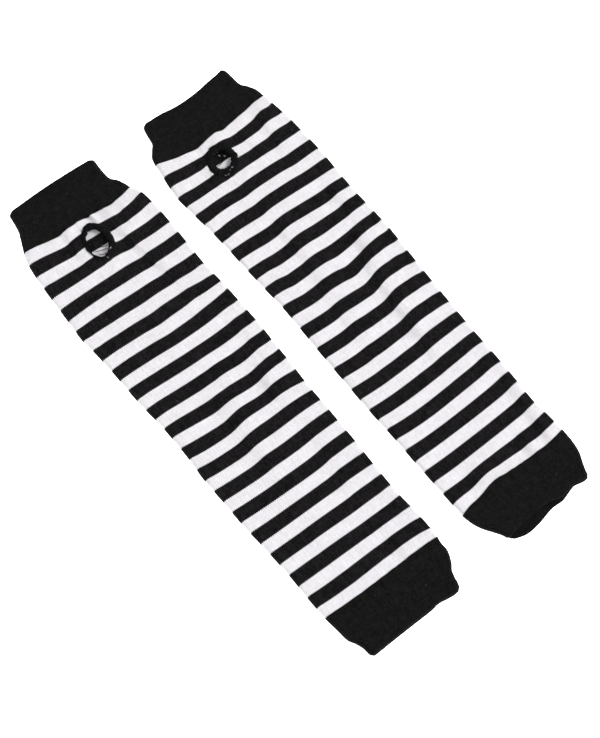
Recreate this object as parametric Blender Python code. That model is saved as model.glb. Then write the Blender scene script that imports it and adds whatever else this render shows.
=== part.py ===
"""A pair of long knitted mittens with bare fingers, laid flat side by side.

Each mitten is a seamless knitted tube between two doubled cuffs, with a thumb hole in its upper
layer and an overcast edge round that hole.  The sizes below are in millimetres and the meshes are
in metres.  A mitten has its own frame: X runs across it, Y runs up it to the fingers, and the mouth
of its hand cuff is near Y = 0, so a distance along the mitten is -Y.  Z = 0 is the table.

Knitted rounds are counted in stripes: round 0 is where the hand cuff meets the first stripe and
round 35 is where the last stripe meets the arm cuff.  A shape table gives, for some of the rounds,
    along    distance of the round's middle from the hand cuff's mouth
    middle   how far the mitten's centre line has wandered sideways
    half     half of the flat width
    lean     how much further along the round is at its right fold than at its left one, halved
    bow      how much further along the round is at both folds than at its middle
    wave     the same for an S-shaped round, at the right fold
and the rounds between follow a smooth curve through them.
"""

import math
from typing import NamedTuple

import bmesh
import bpy
import numpy as np

MM = 0.001

# Cloth
JERSEY_WALL = 1.3
WELT_WALL = 1.9
LAYER_GAP = 1.0
WELT_GAP = 0.6
FOLD_ROLL = 0.5
MOUTH_OPENING = 0.7
SEAM_GAP = 0.3

# How the cloth swells towards its folds and from the tube up to the thicker cuffs
ROLL_POWER = 6
CUFF_RISE_LENGTH = 11.0

# Creases stay off the folds, the more so the higher the power, and fade out past these shares of
# their length from the middle
CREASE_CALM_POWER = 4
CREASE_FULL_TO = 0.25
CREASE_GONE_AT = 0.75

# The tube's layers never come closer than this
LEAST_GAP = 0.2

# The turned edge of a cuff: how far in it starts to round, and the share of wall left at the edge
LIP_LENGTH = 0.9
LIP_SHARE = 0.45

# Rounds at which the pieces begin and end
FIRST_ROUND = -4.0
HAND_SEAM = 0.0
ARM_SEAM = 35.0
LAST_ROUND = 39.0

# Mesh: steps across the upper and under layers, round a fold, and along each piece
UPPER_STEPS = 16
UNDER_STEPS = 8
FOLD_STEPS = 4
TUBE_STEPS = 28
CUFF_STEPS = 6
RING_STEPS = 28
RING_SIDES = 8
HOLE_STEPS = 40

# Overcast edge of the thumb hole
RING_HEIGHT = 2.5
RING_CLEARANCE = 0.3
HOLE_CUT_DEPTH = 0.3
HOLE_CUT_TOP = 12.0

SMOOTH_ANGLE = math.radians(50)


class Shape(NamedTuple):
    """One row of a shape table, in millimetres but for the round's number."""

    course: float
    along: float
    middle: float
    half: float
    lean: float
    bow: float
    wave: float


class Crease(NamedTuple):
    """A soft trough in the upper layer from one end to the other; a negative depth is a swell."""

    along_from: float
    across_from: float
    along_to: float
    across_to: float
    width: float
    depth: float


class Oval(NamedTuple):
    """An oval round the thumb hole, turned anticlockwise by its tilt in degrees."""

    along: float
    across: float
    long_radius: float
    short_radius: float
    tilt: float


class Mitten(NamedTuple):
    """Where a mitten lies, how it is turned, and the tables that shape it.

    At the arm cuff's mouth the under layer may reach out past the upper one, most of all left of the
    middle; under_reach sets how far.
    """

    name: str
    place: tuple
    turn: float
    shapes: tuple
    creases: tuple
    ring_outside: Oval
    ring_inside: Oval
    under_reach: float


LEFT_SHAPES = (
    #     course  along  middle  half  lean   bow  wave
    Shape(-4.00, 2.9, 1.2, 30.9, -0.4, 0.9, 0.0),
    Shape(-3.75, 5.2, 1.1, 32.6, -0.4, 0.8, 0.0),
    Shape(-3.20, 9.6, 0.7, 32.7, -0.2, 0.6, 0.0),
    Shape(-2.00, 19.4, -0.1, 33.5, 0.3, 0.0, 0.0),
    Shape(-1.70, 22.0, -0.3, 34.3, 0.6, -0.3, -0.2),
    Shape(-1.20, 26.3, 0.5, 36.6, 1.1, -0.8, -0.5),
    Shape(-0.50, 32.2, 0.6, 38.7, 2.1, -1.6, -1.1),
    Shape(0.00, 36.4, 0.2, 40.0, 2.6, -2.0, -1.4),
    Shape(1.00, 44.5, 0.9, 43.2, 1.7, -1.7, -1.2),
    Shape(3.00, 61.3, 0.6, 44.7, 0.6, -0.1, -0.9),
    Shape(6.00, 87.4, -0.3, 45.2, 1.1, 0.5, -1.6),
    Shape(8.00, 105.3, -1.0, 45.3, 0.2, 0.1, 1.2),
    Shape(9.00, 114.0, -0.2, 45.1, 0.0, 0.5, 1.9),
    Shape(11.00, 132.1, 0.5, 44.9, 0.9, -2.5, -2.6),
    Shape(14.00, 158.0, 0.9, 44.9, 1.0, -2.0, -1.2),
    Shape(17.00, 183.3, 1.3, 43.6, 0.5, -2.6, -1.0),
    Shape(18.00, 191.7, 1.3, 43.5, -0.4, -3.6, -0.6),
    Shape(20.00, 207.3, 0.7, 43.1, -3.4, -0.3, 3.6),
    Shape(22.00, 224.2, 0.1, 43.5, -2.3, -0.8, 2.0),
    Shape(24.00, 241.7, 0.2, 43.2, -1.0, -1.4, 0.0),
    Shape(26.00, 258.9, 0.1, 43.0, -0.5, -1.7, -0.6),
    Shape(28.00, 275.6, 0.2, 42.1, -0.6, -0.3, 0.0),
    Shape(31.00, 301.6, 0.6, 41.4, 0.4, -0.3, -0.8),
    Shape(33.00, 318.7, 1.0, 42.0, -1.2, 0.2, 1.1),
    Shape(34.00, 327.4, 1.0, 42.0, -1.9, 0.1, 2.2),
    Shape(35.00, 335.7, 0.8, 41.6, -1.2, -0.5, 1.2),
    Shape(35.50, 340.3, 0.7, 41.0, -1.0, -0.4, 0.8),
    Shape(36.00, 344.8, 1.1, 40.8, -0.9, -0.3, 0.5),
    Shape(37.00, 353.2, 0.1, 38.8, -0.7, -0.1, 0.0),
    Shape(37.50, 357.6, -0.3, 36.0, -0.7, 0.0, 0.0),
    Shape(38.00, 361.9, -0.2, 34.6, -0.8, 0.1, 0.0),
    Shape(38.65, 366.7, -0.5, 33.7, -0.9, 0.3, 0.0),
    Shape(39.00, 368.9, -0.6, 32.4, -1.0, 0.4, 0.0),
)

RIGHT_SHAPES = (
    #     course  along  middle  half  lean   bow  wave
    Shape(-4.00, 5.4, 0.1, 32.0, -1.3, -3.3, -0.6),
    Shape(-3.70, 7.9, -0.3, 33.5, -1.3, -3.2, -0.6),
    Shape(-3.20, 12.0, -0.6, 34.2, -1.4, -3.0, 0.0),
    Shape(-2.20, 19.6, -0.8, 35.2, -1.8, -3.0, 0.8),
    Shape(-1.50, 24.9, -0.7, 38.5, -2.4, -3.6, 1.7),
    Shape(-0.70, 31.2, -1.1, 41.6, -3.0, -4.5, 2.5),
    Shape(0.00, 37.0, -1.2, 42.6, -3.3, -5.0, 2.9),
    Shape(1.00, 44.2, -1.2, 43.9, -1.6, -3.0, -1.0),
    Shape(3.00, 59.3, -1.0, 45.7, -1.7, -0.9, -0.5),
    Shape(5.00, 75.6, 0.0, 45.4, -0.2, 0.4, -0.1),
    Shape(7.00, 92.1, 0.8, 44.7, -0.5, 0.6, 0.8),
    Shape(9.00, 109.5, 0.9, 44.0, -0.9, 0.1, 1.0),
    Shape(11.00, 126.5, 1.1, 43.7, -1.2, -0.6, -0.4),
    Shape(13.00, 143.7, 1.7, 43.6, -0.8, -2.0, -1.2),
    Shape(15.00, 160.8, 2.2, 43.2, -1.6, -3.7, -1.6),
    Shape(17.00, 177.9, 1.6, 42.9, -2.8, -2.6, -0.3),
    Shape(20.00, 203.6, 0.7, 42.5, -3.0, -1.8, 0.7),
    Shape(22.00, 220.7, 0.3, 42.2, -3.7, -1.3, 2.3),
    Shape(25.00, 246.5, -0.1, 41.9, -3.0, -1.2, 1.2),
    Shape(28.00, 272.3, 0.1, 41.5, -2.8, -1.6, 1.2),
    Shape(30.00, 289.4, -0.2, 41.2, -1.8, -1.3, -0.6),
    Shape(32.00, 306.4, -0.4, 40.7, -2.2, -0.9, -0.1),
    Shape(33.00, 314.6, 0.1, 41.1, -2.1, 0.1, -0.5),
    Shape(34.00, 322.3, 0.3, 41.2, -0.8, 1.0, -2.2),
    Shape(35.00, 329.3, 0.5, 41.2, 0.3, 1.9, -4.2),
    Shape(35.70, 335.0, 0.8, 40.9, -0.3, 0.8, -2.4),
    Shape(36.50, 341.6, 1.1, 40.0, -0.6, -0.2, -0.9),
    Shape(37.20, 347.2, 1.4, 38.1, -0.6, -0.2, 0.0),
    Shape(37.80, 351.8, 2.1, 35.3, -0.5, 0.6, 0.0),
    Shape(38.40, 355.6, 2.9, 32.6, -0.4, 1.6, 0.0),
    Shape(38.80, 357.5, 3.0, 31.7, -0.3, 2.1, 0.0),
    Shape(39.00, 358.5, 3.1, 30.8, -0.3, 2.3, 0.0),
)

LEFT_CREASES = (
    #      along_from  across_from  along_to  across_to  width  depth
    Crease(38.0, 11.2, 110.0, 20.5, 4.5, 0.75),
    Crease(22.0, 15.0, 54.0, 16.0, 4.0, 0.50),
    Crease(22.0, 24.0, 54.0, 23.5, 4.5, 0.70),
    Crease(22.0, -17.5, 66.0, -17.5, 4.0, 0.65),
    Crease(148.0, 31.5, 190.0, 32.5, 4.0, 0.50),
    Crease(176.0, 22.5, 212.0, 17.5, 6.5, 0.80),
    Crease(176.0, -12.5, 250.0, -16.5, 8.0, 0.60),
    Crease(164.0, 1.0, 188.0, 0.0, 4.0, 0.30),
    Crease(232.0, 22.5, 294.0, 15.0, 6.0, 0.48),
    Crease(312.0, 16.0, 344.0, 16.5, 6.5, 0.55),
    Crease(280.0, 36.0, 322.0, 34.0, 3.5, 0.48),
    Crease(284.0, -20.0, 310.0, -21.0, 4.0, 0.25),
    Crease(24.0, -34.5, 50.0, -35.0, 5.0, -0.50),
    Crease(56.0, 21.0, 106.0, 28.0, 7.0, -0.30),
    Crease(110.0, -6.0, 180.0, 2.0, 15.0, -0.50),
    Crease(180.0, 32.0, 208.0, 28.5, 6.5, -0.80),
    Crease(188.0, 1.5, 240.0, -2.0, 9.0, -0.50),
    Crease(246.0, -12.0, 306.0, -6.0, 13.0, -0.40),
)

RIGHT_CREASES = (
    #      along_from  across_from  along_to  across_to  width  depth
    Crease(98.0, -12.8, 172.0, -16.6, 4.5, 0.52),
    Crease(156.0, -19.5, 226.0, -24.5, 5.0, 0.45),
    Crease(144.0, 21.5, 168.0, 18.0, 6.0, 0.75),
    Crease(160.0, 13.8, 254.0, 6.0, 6.0, 0.72),
    Crease(108.0, 30.0, 136.0, 30.0, 5.0, 0.90),
    Crease(272.0, 35.3, 338.0, 27.0, 4.5, 0.90),
    Crease(278.0, 40.0, 336.0, 33.5, 4.0, -0.70),
    Crease(22.0, -19.0, 48.0, -18.0, 5.0, 0.70),
    Crease(22.0, -10.0, 46.0, -9.5, 5.0, 0.60),
    Crease(45.0, -24.5, 68.0, -24.5, 3.5, 0.50),
    Crease(38.0, 25.0, 72.0, 25.0, 4.5, 0.75),
    Crease(40.0, 8.5, 66.0, 9.0, 5.0, 0.50),
    Crease(22.0, 31.0, 46.0, 30.5, 4.5, 0.70),
    Crease(312.0, 13.0, 346.0, 13.0, 6.5, 0.75),
    Crease(312.0, -27.0, 346.0, -26.0, 8.0, 0.60),
    Crease(42.0, 35.0, 66.0, 34.0, 5.0, -0.30),
    Crease(62.0, 14.0, 112.0, 10.0, 11.0, -0.40),
    Crease(110.0, 38.0, 134.0, 38.0, 5.0, -0.90),
    Crease(130.0, -3.0, 214.0, -12.0, 8.0, -0.30),
    Crease(144.0, 34.0, 168.0, 31.5, 7.0, -1.20),
    Crease(150.0, -32.0, 212.0, -33.0, 7.5, -0.40),
    Crease(164.0, 24.5, 240.0, 17.0, 8.0, -0.95),
    Crease(254.0, 4.0, 320.0, 2.0, 14.0, -0.45),
    Crease(314.0, -34.0, 344.0, -34.0, 5.0, -0.50),
)

MITTENS = (
    Mitten(
        name="left",
        place=(-153.61, 114.55),
        turn=37.66,
        shapes=LEFT_SHAPES,
        creases=LEFT_CREASES,
        ring_outside=Oval(53.9, 1.9, 14.2, 9.5, 8.0),
        ring_inside=Oval(54.6, 0.2, 10.2, 6.5, 14.0),
        under_reach=0.0,
    ),
    Mitten(
        name="right",
        place=(-70.33, 179.54),
        turn=37.21,
        shapes=RIGHT_SHAPES,
        creases=RIGHT_CREASES,
        ring_outside=Oval(54.6, -8.6, 12.6, 10.3, 28.0),
        ring_inside=Oval(54.2, -8.1, 6.7, 5.9, 20.0),
        under_reach=3.9,
    ),
)

# Colours as linear RGB, and roughness
KNIT_BLACK = (0.012, 0.011, 0.012)
STRIPED_MEAN = (0.42, 0.41, 0.43)
STITCH_BLACK = (0.008, 0.007, 0.008)
KNIT_ROUGHNESS = 0.92


def clear_scene():
    for old in list(bpy.data.objects):
        bpy.data.objects.remove(old)


def make_collection(name):
    collection = bpy.data.collections.new(name)
    bpy.context.scene.collection.children.link(collection)
    return collection


def make_material(name, colour):
    material = bpy.data.materials.new(name)
    material.use_nodes = True
    shader = material.node_tree.nodes["Principled BSDF"]
    shader.inputs["Base Color"].default_value = (*colour, 1.0)
    shader.inputs["Roughness"].default_value = KNIT_ROUGHNESS
    shader.inputs["Metallic"].default_value = 0.0
    return material


def smooth_curve(knots, values, at):
    """The value at one place on a smooth curve through the knots that never overshoots them."""
    steps = np.diff(knots)
    slopes = np.diff(values) / steps
    tangents = np.zeros(len(knots))
    tangents[0], tangents[-1] = slopes[0], slopes[-1]
    for i in range(1, len(knots) - 1):
        if slopes[i - 1] * slopes[i] > 0:
            before, after = 2 * steps[i] + steps[i - 1], steps[i] + 2 * steps[i - 1]
            tangents[i] = (before + after) / (before / slopes[i - 1] + after / slopes[i])
    i = int(np.clip(np.searchsorted(knots, at) - 1, 0, len(steps) - 1))
    u = (at - knots[i]) / steps[i]
    return (
        (1 + 2 * u) * (1 - u) ** 2 * values[i]
        + u * (1 - u) ** 2 * steps[i] * tangents[i]
        + u * u * (3 - 2 * u) * values[i + 1]
        + u * u * (u - 1) * steps[i] * tangents[i + 1]
    )


def shape_at(shapes, course):
    """The shape row of any round, read from the table's smooth curves."""
    columns = np.array(shapes).T
    values = [smooth_curve(columns[0], column, course) for column in columns[1:]]
    return Shape(course, *values)


def crease_drop(creases, along, across):
    """How far the creases lower the upper layer at a place."""
    drop = 0.0
    for crease in creases:
        run = np.array((crease.along_to - crease.along_from, crease.across_to - crease.across_from))
        off = np.array((along - crease.along_from, across - crease.across_from))
        length = np.linalg.norm(run)
        share = off @ run / length**2
        aside = abs(off[0] * run[1] - off[1] * run[0]) / length
        past_end = max(-share, share - 1, 0.0) * length
        past_full = (abs(share - 0.5) - CREASE_FULL_TO) / (CREASE_GONE_AT - CREASE_FULL_TO)
        fade = 1 - min(1.0, max(0.0, past_full))
        drop += crease.depth * fade * math.exp(-(aside**2 + past_end**2) / crease.width**2)
    return drop


def layer_gap(mitten, shape, share, wall_at_seams):
    """The space between the layers at a share of the width, -1 at the left fold and 1 at the right."""
    roll = FOLD_ROLL * abs(share) ** ROLL_POWER
    if shape.course < HAND_SEAM or shape.course > ARM_SEAM:
        from_mouth = min(shape.course - FIRST_ROUND, LAST_ROUND - shape.course)
        opening = MOUTH_OPENING * max(0.0, 1 - from_mouth) ** 2 * (1 - share**2)
        return WELT_GAP + roll + opening
    nearest_seam = min(
        shape.along - shape_at(mitten.shapes, HAND_SEAM).along,
        shape_at(mitten.shapes, ARM_SEAM).along - shape.along,
    )
    rise_at_seam = 2 * (WELT_WALL - wall_at_seams) + WELT_GAP - LAYER_GAP
    rise = rise_at_seam * math.exp(-((nearest_seam / CUFF_RISE_LENGTH) ** 2))
    across = shape.middle + share * shape.half
    inside_folds = 1 - share**CREASE_CALM_POWER
    drop = crease_drop(mitten.creases, shape.along, across) * inside_folds
    return max(LEAST_GAP, LAYER_GAP + roll + rise - drop)


def round_along(shape, share):
    """Distance along the mitten of a round's point at a share of the width."""
    return shape.along + shape.lean * share + shape.bow * share**2 + shape.wave * share**3


def section_line(mitten, shape, wall):
    """The middle line of the wall round one section: rows of across, height, out-across, out-up."""
    gap_left = layer_gap(mitten, shape, -1.0, wall)
    gap_right = layer_gap(mitten, shape, 1.0, wall)
    turn_left, turn_right = wall + gap_left / 2, wall + gap_right / 2
    left_centre = shape.middle - shape.half + turn_left
    right_centre = shape.middle + shape.half - turn_right
    line = []
    for i in range(UPPER_STEPS + 1):
        share = 2 * i / UPPER_STEPS - 1
        across = left_centre + (share + 1) / 2 * (right_centre - left_centre)
        height = 1.5 * wall + layer_gap(mitten, shape, share, wall)
        line.append((across, height, 0.0, 1.0))
    for i in range(1, FOLD_STEPS):
        angle = math.pi / 2 - math.pi * i / FOLD_STEPS
        out_across, out_up = math.cos(angle), math.sin(angle)
        radius = turn_right - wall / 2
        line.append((right_centre + radius * out_across, turn_right + radius * out_up, out_across, out_up))
    for i in range(UNDER_STEPS + 1):
        share = 1 - 2 * i / UNDER_STEPS
        across = left_centre + (share + 1) / 2 * (right_centre - left_centre)
        line.append((across, wall / 2, 0.0, -1.0))
    for i in range(1, FOLD_STEPS):
        angle = -math.pi / 2 - math.pi * i / FOLD_STEPS
        out_across, out_up = math.cos(angle), math.sin(angle)
        radius = turn_left - wall / 2
        line.append((left_centre + radius * out_across, turn_left + radius * out_up, out_across, out_up))
    return line


def wall_rings(mitten, course, wall, thickness_share, shift):
    """The outer and inner rings of points of one section, moved along by a shift."""
    shape = shape_at(mitten.shapes, course)
    outer, inner = [], []
    for across, height, out_across, out_up in section_line(mitten, shape, wall):
        share = (across - shape.middle) / shape.half
        along = round_along(shape, share) + shift
        if course > ARM_SEAM and out_up < 0:
            near_mouth = (course - ARM_SEAM) / (LAST_ROUND - ARM_SEAM)
            along += mitten.under_reach * near_mouth**2 * (1 - share**2) * (1 - share) ** 2
        offset = wall / 2 * thickness_share
        outer.append((across + offset * out_across, -along, height + offset * out_up))
        inner.append((across - offset * out_across, -along, height - offset * out_up))
    return outer, inner


def mesh_from_rings(name, pairs):
    """A closed wall through pairs of outer and inner rings, joined at both of its ends."""
    mesh = bmesh.new()
    outer, inner = [], []
    for outer_ring, inner_ring in pairs:
        outer.append([mesh.verts.new(np.array(point) * MM) for point in outer_ring])
        inner.append([mesh.verts.new(np.array(point) * MM) for point in inner_ring])
    count = len(outer[0])
    for i in range(count):
        j = (i + 1) % count
        for near, far in zip(range(len(pairs) - 1), range(1, len(pairs))):
            mesh.faces.new((outer[near][i], outer[near][j], outer[far][j], outer[far][i]))
            mesh.faces.new((inner[near][j], inner[near][i], inner[far][i], inner[far][j]))
        mesh.faces.new((outer[0][j], outer[0][i], inner[0][i], inner[0][j]))
        mesh.faces.new((outer[-1][i], outer[-1][j], inner[-1][j], inner[-1][i]))
    bmesh.ops.recalc_face_normals(mesh, faces=mesh.faces)
    data = bpy.data.meshes.new(name)
    mesh.to_mesh(data)
    mesh.free()
    return data


def make_tube(mitten):
    """The striped tube between the cuffs, without its thumb hole."""
    pairs = []
    for i in range(TUBE_STEPS + 1):
        course = HAND_SEAM + (ARM_SEAM - HAND_SEAM) * i / TUBE_STEPS
        pairs.append(wall_rings(mitten, course, JERSEY_WALL, 1.0, 0.0))
    return mesh_from_rings(f"{mitten.name}_striped_tube", pairs)


def make_cuff(mitten, name, mouth, seam):
    """A doubled cuff: its mouth is a turned edge, and its other end stops short of the tube."""
    toward_seam = math.copysign(1, seam - mouth)
    pairs = [wall_rings(mitten, mouth, WELT_WALL, LIP_SHARE, 0.0)]
    for i in range(CUFF_STEPS + 1):
        course = mouth + (seam - mouth) * i / CUFF_STEPS
        at_lip, at_seam = i == 0, i == CUFF_STEPS
        shift = toward_seam * (LIP_LENGTH * at_lip - SEAM_GAP * at_seam)
        pairs.append(wall_rings(mitten, course, WELT_WALL, 1.0, shift))
    return mesh_from_rings(f"{mitten.name}_{name}", pairs)


def oval_point(oval, angle, grow=0.0):
    """A point on an oval made larger all round by a margin: across, and distance along."""
    long_part = (oval.long_radius + grow) * math.cos(angle)
    short_part = (oval.short_radius + grow) * math.sin(angle)
    tilt = math.radians(oval.tilt)
    across = oval.across + long_part * math.sin(tilt) + short_part * math.cos(tilt)
    along = oval.along - long_part * math.cos(tilt) + short_part * math.sin(tilt)
    return across, along


def course_near(mitten, along):
    """The round whose middle lies at a distance along the mitten."""
    courses = [shape.course for shape in mitten.shapes]
    distances = [shape.along for shape in mitten.shapes]
    return float(np.interp(along, distances, courses))


def upper_height(mitten, across, along):
    """Height of the middle of the tube's upper layer at a place."""
    shape = shape_at(mitten.shapes, course_near(mitten, along))
    share = (across - shape.middle) / shape.half
    return 1.5 * JERSEY_WALL + layer_gap(mitten, shape, share, JERSEY_WALL)


def make_thumb_ring(mitten):
    """The overcast edge of the thumb hole: a bead that fills the cut from edge to opening."""
    mesh = bmesh.new()
    rings = []
    for i in range(RING_STEPS):
        angle = 2 * math.pi * i / RING_STEPS
        outside = oval_point(mitten.ring_outside, angle)
        inside = oval_point(mitten.ring_inside, angle)
        across, along = (outside[0] + inside[0]) / 2, (outside[1] + inside[1]) / 2
        height = upper_height(mitten, across, along) + RING_CLEARANCE / 2
        ring = []
        for k in range(RING_SIDES):
            around = 2 * math.pi * (k + 0.5) / RING_SIDES
            part = math.cos(around) / math.cos(math.pi / RING_SIDES)
            point = (
                across + part * (outside[0] - inside[0]) / 2,
                -along - part * (outside[1] - inside[1]) / 2,
                height + math.sin(around) * RING_HEIGHT / 2,
            )
            ring.append(mesh.verts.new(np.array(point) * MM))
        rings.append(ring)
    for i in range(RING_STEPS):
        near, far = rings[i], rings[(i + 1) % RING_STEPS]
        for k in range(RING_SIDES):
            j = (k + 1) % RING_SIDES
            mesh.faces.new((near[k], near[j], far[j], far[k]))
    bmesh.ops.recalc_face_normals(mesh, faces=mesh.faces)
    data = bpy.data.meshes.new(f"{mitten.name}_thumb_ring")
    mesh.to_mesh(data)
    mesh.free()
    return data


def make_hole_cutter(mitten):
    """A prism that opens the upper layer for the thumb ring and stops above the under layer."""
    mesh = bmesh.new()
    low = (JERSEY_WALL + HOLE_CUT_DEPTH) * MM
    outline = []
    for i in range(HOLE_STEPS):
        angle = 2 * math.pi * i / HOLE_STEPS
        across, along = oval_point(mitten.ring_outside, angle, RING_CLEARANCE)
        outline.append(mesh.verts.new((across * MM, -along * MM, low)))
    floor = mesh.faces.new(outline)
    raised = bmesh.ops.extrude_face_region(mesh, geom=[floor])["geom"]
    moved = [item for item in raised if isinstance(item, bmesh.types.BMVert)]
    bmesh.ops.translate(mesh, verts=moved, vec=(0, 0, HOLE_CUT_TOP * MM - low))
    bmesh.ops.recalc_face_normals(mesh, faces=mesh.faces)
    data = bpy.data.meshes.new(f"{mitten.name}_thumb_hole_cutter")
    mesh.to_mesh(data)
    mesh.free()
    return data


def add_object(data, collection, parent, material=None):
    obj = bpy.data.objects.new(data.name, data)
    collection.objects.link(obj)
    obj.parent = parent
    if material is not None:
        data.materials.append(material)
        data.shade_smooth()
        data.set_sharp_from_angle(angle=SMOOTH_ANGLE)
    return obj


def cut_thumb_hole(tube, cutter):
    cutter.hide_render = True
    cutter.display_type = "WIRE"
    cut = tube.modifiers.new("thumb hole", "BOOLEAN")
    cut.operation = "DIFFERENCE"
    cut.solver = "EXACT"
    cut.object = cutter


def make_mitten(mitten, pieces, cutters, materials):
    """One mitten's four pieces, on an empty that lays it in its place."""
    place = bpy.data.objects.new(f"{mitten.name}_mitten", None)
    place.location = (mitten.place[0] * MM, mitten.place[1] * MM, 0.0)
    place.rotation_euler = (0.0, 0.0, math.radians(mitten.turn))
    pieces.objects.link(place)

    hand_cuff = make_cuff(mitten, "hand_cuff", FIRST_ROUND, HAND_SEAM)
    add_object(hand_cuff, pieces, place, materials["black_knit"])
    arm_cuff = make_cuff(mitten, "arm_cuff", LAST_ROUND, ARM_SEAM)
    add_object(arm_cuff, pieces, place, materials["black_knit"])
    tube = add_object(make_tube(mitten), pieces, place, materials["striped_knit"])
    cutter = add_object(make_hole_cutter(mitten), cutters, place)
    cut_thumb_hole(tube, cutter)
    add_object(make_thumb_ring(mitten), pieces, place, materials["black_stitching"])


def main():
    clear_scene()
    pieces = make_collection("pair_of_long_knitted_mittens")
    cutters = make_collection("cutters")
    materials = {
        "black_knit": make_material("black_knit", KNIT_BLACK),
        "striped_knit": make_material("striped_knit", STRIPED_MEAN),
        "black_stitching": make_material("black_stitching", STITCH_BLACK),
    }
    for mitten in MITTENS:
        make_mitten(mitten, pieces, cutters, materials)


main()
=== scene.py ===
"""Looks of a pair of long knitted mittens with bare fingers, laid flat side by side on a pale floor.

Each mitten is a striped tube of plain knit between two doubled black cuffs, with a thumb hole in its
upper layer whose edge is overcast in black thread.  Sizes are in millimetres and meshes in metres.
The shapes, creases and ovals are those of the solids in the frame, with one small crease more; the
pulls are the cloth's alone.  A mitten has its own frame: X runs across it, Y runs up it to the
fingers, and a distance along it is -Y.

Knitted rounds are counted in stripes: round 0 is where the hand cuff meets the first stripe and
round 35 is where the last stripe meets the arm cuff.  The attribute "knit" holds, at every corner of
the cloth's faces, which column of stitches it is in and which round.
"""

import math
from typing import NamedTuple

import bpy
import numpy as np
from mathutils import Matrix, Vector, noise


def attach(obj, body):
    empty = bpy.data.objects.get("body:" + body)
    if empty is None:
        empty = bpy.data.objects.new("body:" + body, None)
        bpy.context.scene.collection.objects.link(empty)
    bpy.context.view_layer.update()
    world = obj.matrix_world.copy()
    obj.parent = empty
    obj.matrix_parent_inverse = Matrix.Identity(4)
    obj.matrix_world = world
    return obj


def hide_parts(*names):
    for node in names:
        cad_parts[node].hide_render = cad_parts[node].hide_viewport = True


bl_info = {
    "name": "Long knitted mittens",
    "version": (1, 0, 0),
    "blender": (4, 5, 0),
    "location": "View3D > Sidebar > Mittens",
    "description": "Knits, overcasts and lights a pair of long striped mittens laid flat",
    "category": "Add Mesh",
}

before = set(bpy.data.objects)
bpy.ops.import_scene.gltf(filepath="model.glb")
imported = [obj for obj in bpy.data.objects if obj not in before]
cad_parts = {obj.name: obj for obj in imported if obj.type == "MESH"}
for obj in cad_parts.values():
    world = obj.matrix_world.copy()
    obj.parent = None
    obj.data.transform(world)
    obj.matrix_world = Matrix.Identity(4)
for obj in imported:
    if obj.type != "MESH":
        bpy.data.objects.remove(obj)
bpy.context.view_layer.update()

MM = 0.001

# Cloth, as in the solids
JERSEY_WALL = 1.3
WELT_WALL = 1.9
LAYER_GAP = 1.0
WELT_GAP = 0.6
FOLD_ROLL = 0.5
MOUTH_OPENING = 0.7
ROLL_POWER = 6
CUFF_RISE_LENGTH = 11.0
CREASE_CALM_POWER = 4
CREASE_FULL_TO = 0.25
CREASE_GONE_AT = 0.75
LIP_LENGTH = 0.9
LIP_MARGIN = 0.3
FIRST_ROUND = -4.0
HAND_SEAM = 0.0
ARM_SEAM = 35.0
LAST_ROUND = 39.0
RING_HEIGHT = 2.5
RING_CLEARANCE = 0.3

# How finely the cloth is divided: across its layers, round a fold and a cuff's lip, and in a round
UPPER_STEPS = 76
UNDER_STEPS = 44
FOLD_STEPS = 8
LIP_STEPS = 8
TUBE_STEPS_PER_ROUND = 7
CUFF_STEPS_PER_ROUND = 8

# Fine waves in the upper layer
WAVE_HEIGHT = 0.20
WAVE_LENGTH = 17.0
WAVE_SEED = (3.0, 1.7)
# Gathers where the tube is drawn in to a cuff, and how much and how soon their spacing drifts
GATHER_HEIGHT = 0.26
GATHER_LENGTH = 12.0
GATHER_REACH = 10.0
GATHER_DRIFT = 2
GATHER_DRIFT_LENGTH = 9
# Puckers round the thumb hole; their middle and reach are shares of the ring's outer oval
PUCKER_HEIGHT = 0.20
PUCKER_COUNT = 11
PUCKER_MIDDLE = 1.05
PUCKER_REACH = 0.45
PUCKER_DRIFT = 1.3
# A crease rises more steeply on its right side: by how much more, over what share of its width, and
# how far from its middle
STEEP_HEIGHT = 0.95
STEEP_SHARE = 0.4
CREASE_EDGE = 0.7
# The layers never come closer than this
LEAST_GAP = 0.08
# The hidden under layer lies further from the hand up to the first of these rounds, and runs true
# from the second one on
UNDER_SHIFT_FULL_TO = 8.0
UNDER_SHIFT_GONE_AT = 20.0
# On the under layer, pulls fade from the folds inwards by this power of the share of half the width
FOLD_PULL_POWER = 8

# Stitches: how many rows a leg climbs from its column's middle to its edge, the row at which the
# first white stripe starts, and the shape of a leg across and along
LEG_CLIMB = 0.85
FIRST_ROW_AT = 0.5
LEG_ROUNDNESS = 0.8
LEG_SLIMMING = 0.7
LEG_SLIMMING_POWER = 3.0
# How much the height of whole stitches and of the fuzz counts beside that of a leg
UNEVEN_HEIGHT = 0.25
FUZZ_HEIGHT = 0.17
# How far the fuzz and the streaks move on from column to column, where each row moves them on by one
FUZZ_PER_WALE = 1.3
# The painted shade in the gaps between the stitches ends at this height
GAP_TOP = 0.9
# Specks of lint on the black yarn: the share of stitches that hold one, and how much paler it is
LINT_SHARE = 0.0006
LINT_TONE = 4.0
# Roughness of the noises, and the finish of the knit
MOTTLE_ROUGHNESS = 0.6
KNIT_ROUGHNESS = 0.85
KNIT_SPECULAR = 0.05
KNIT_SHEEN = 0.02
SHEEN_ROUGHNESS = 0.5

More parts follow.
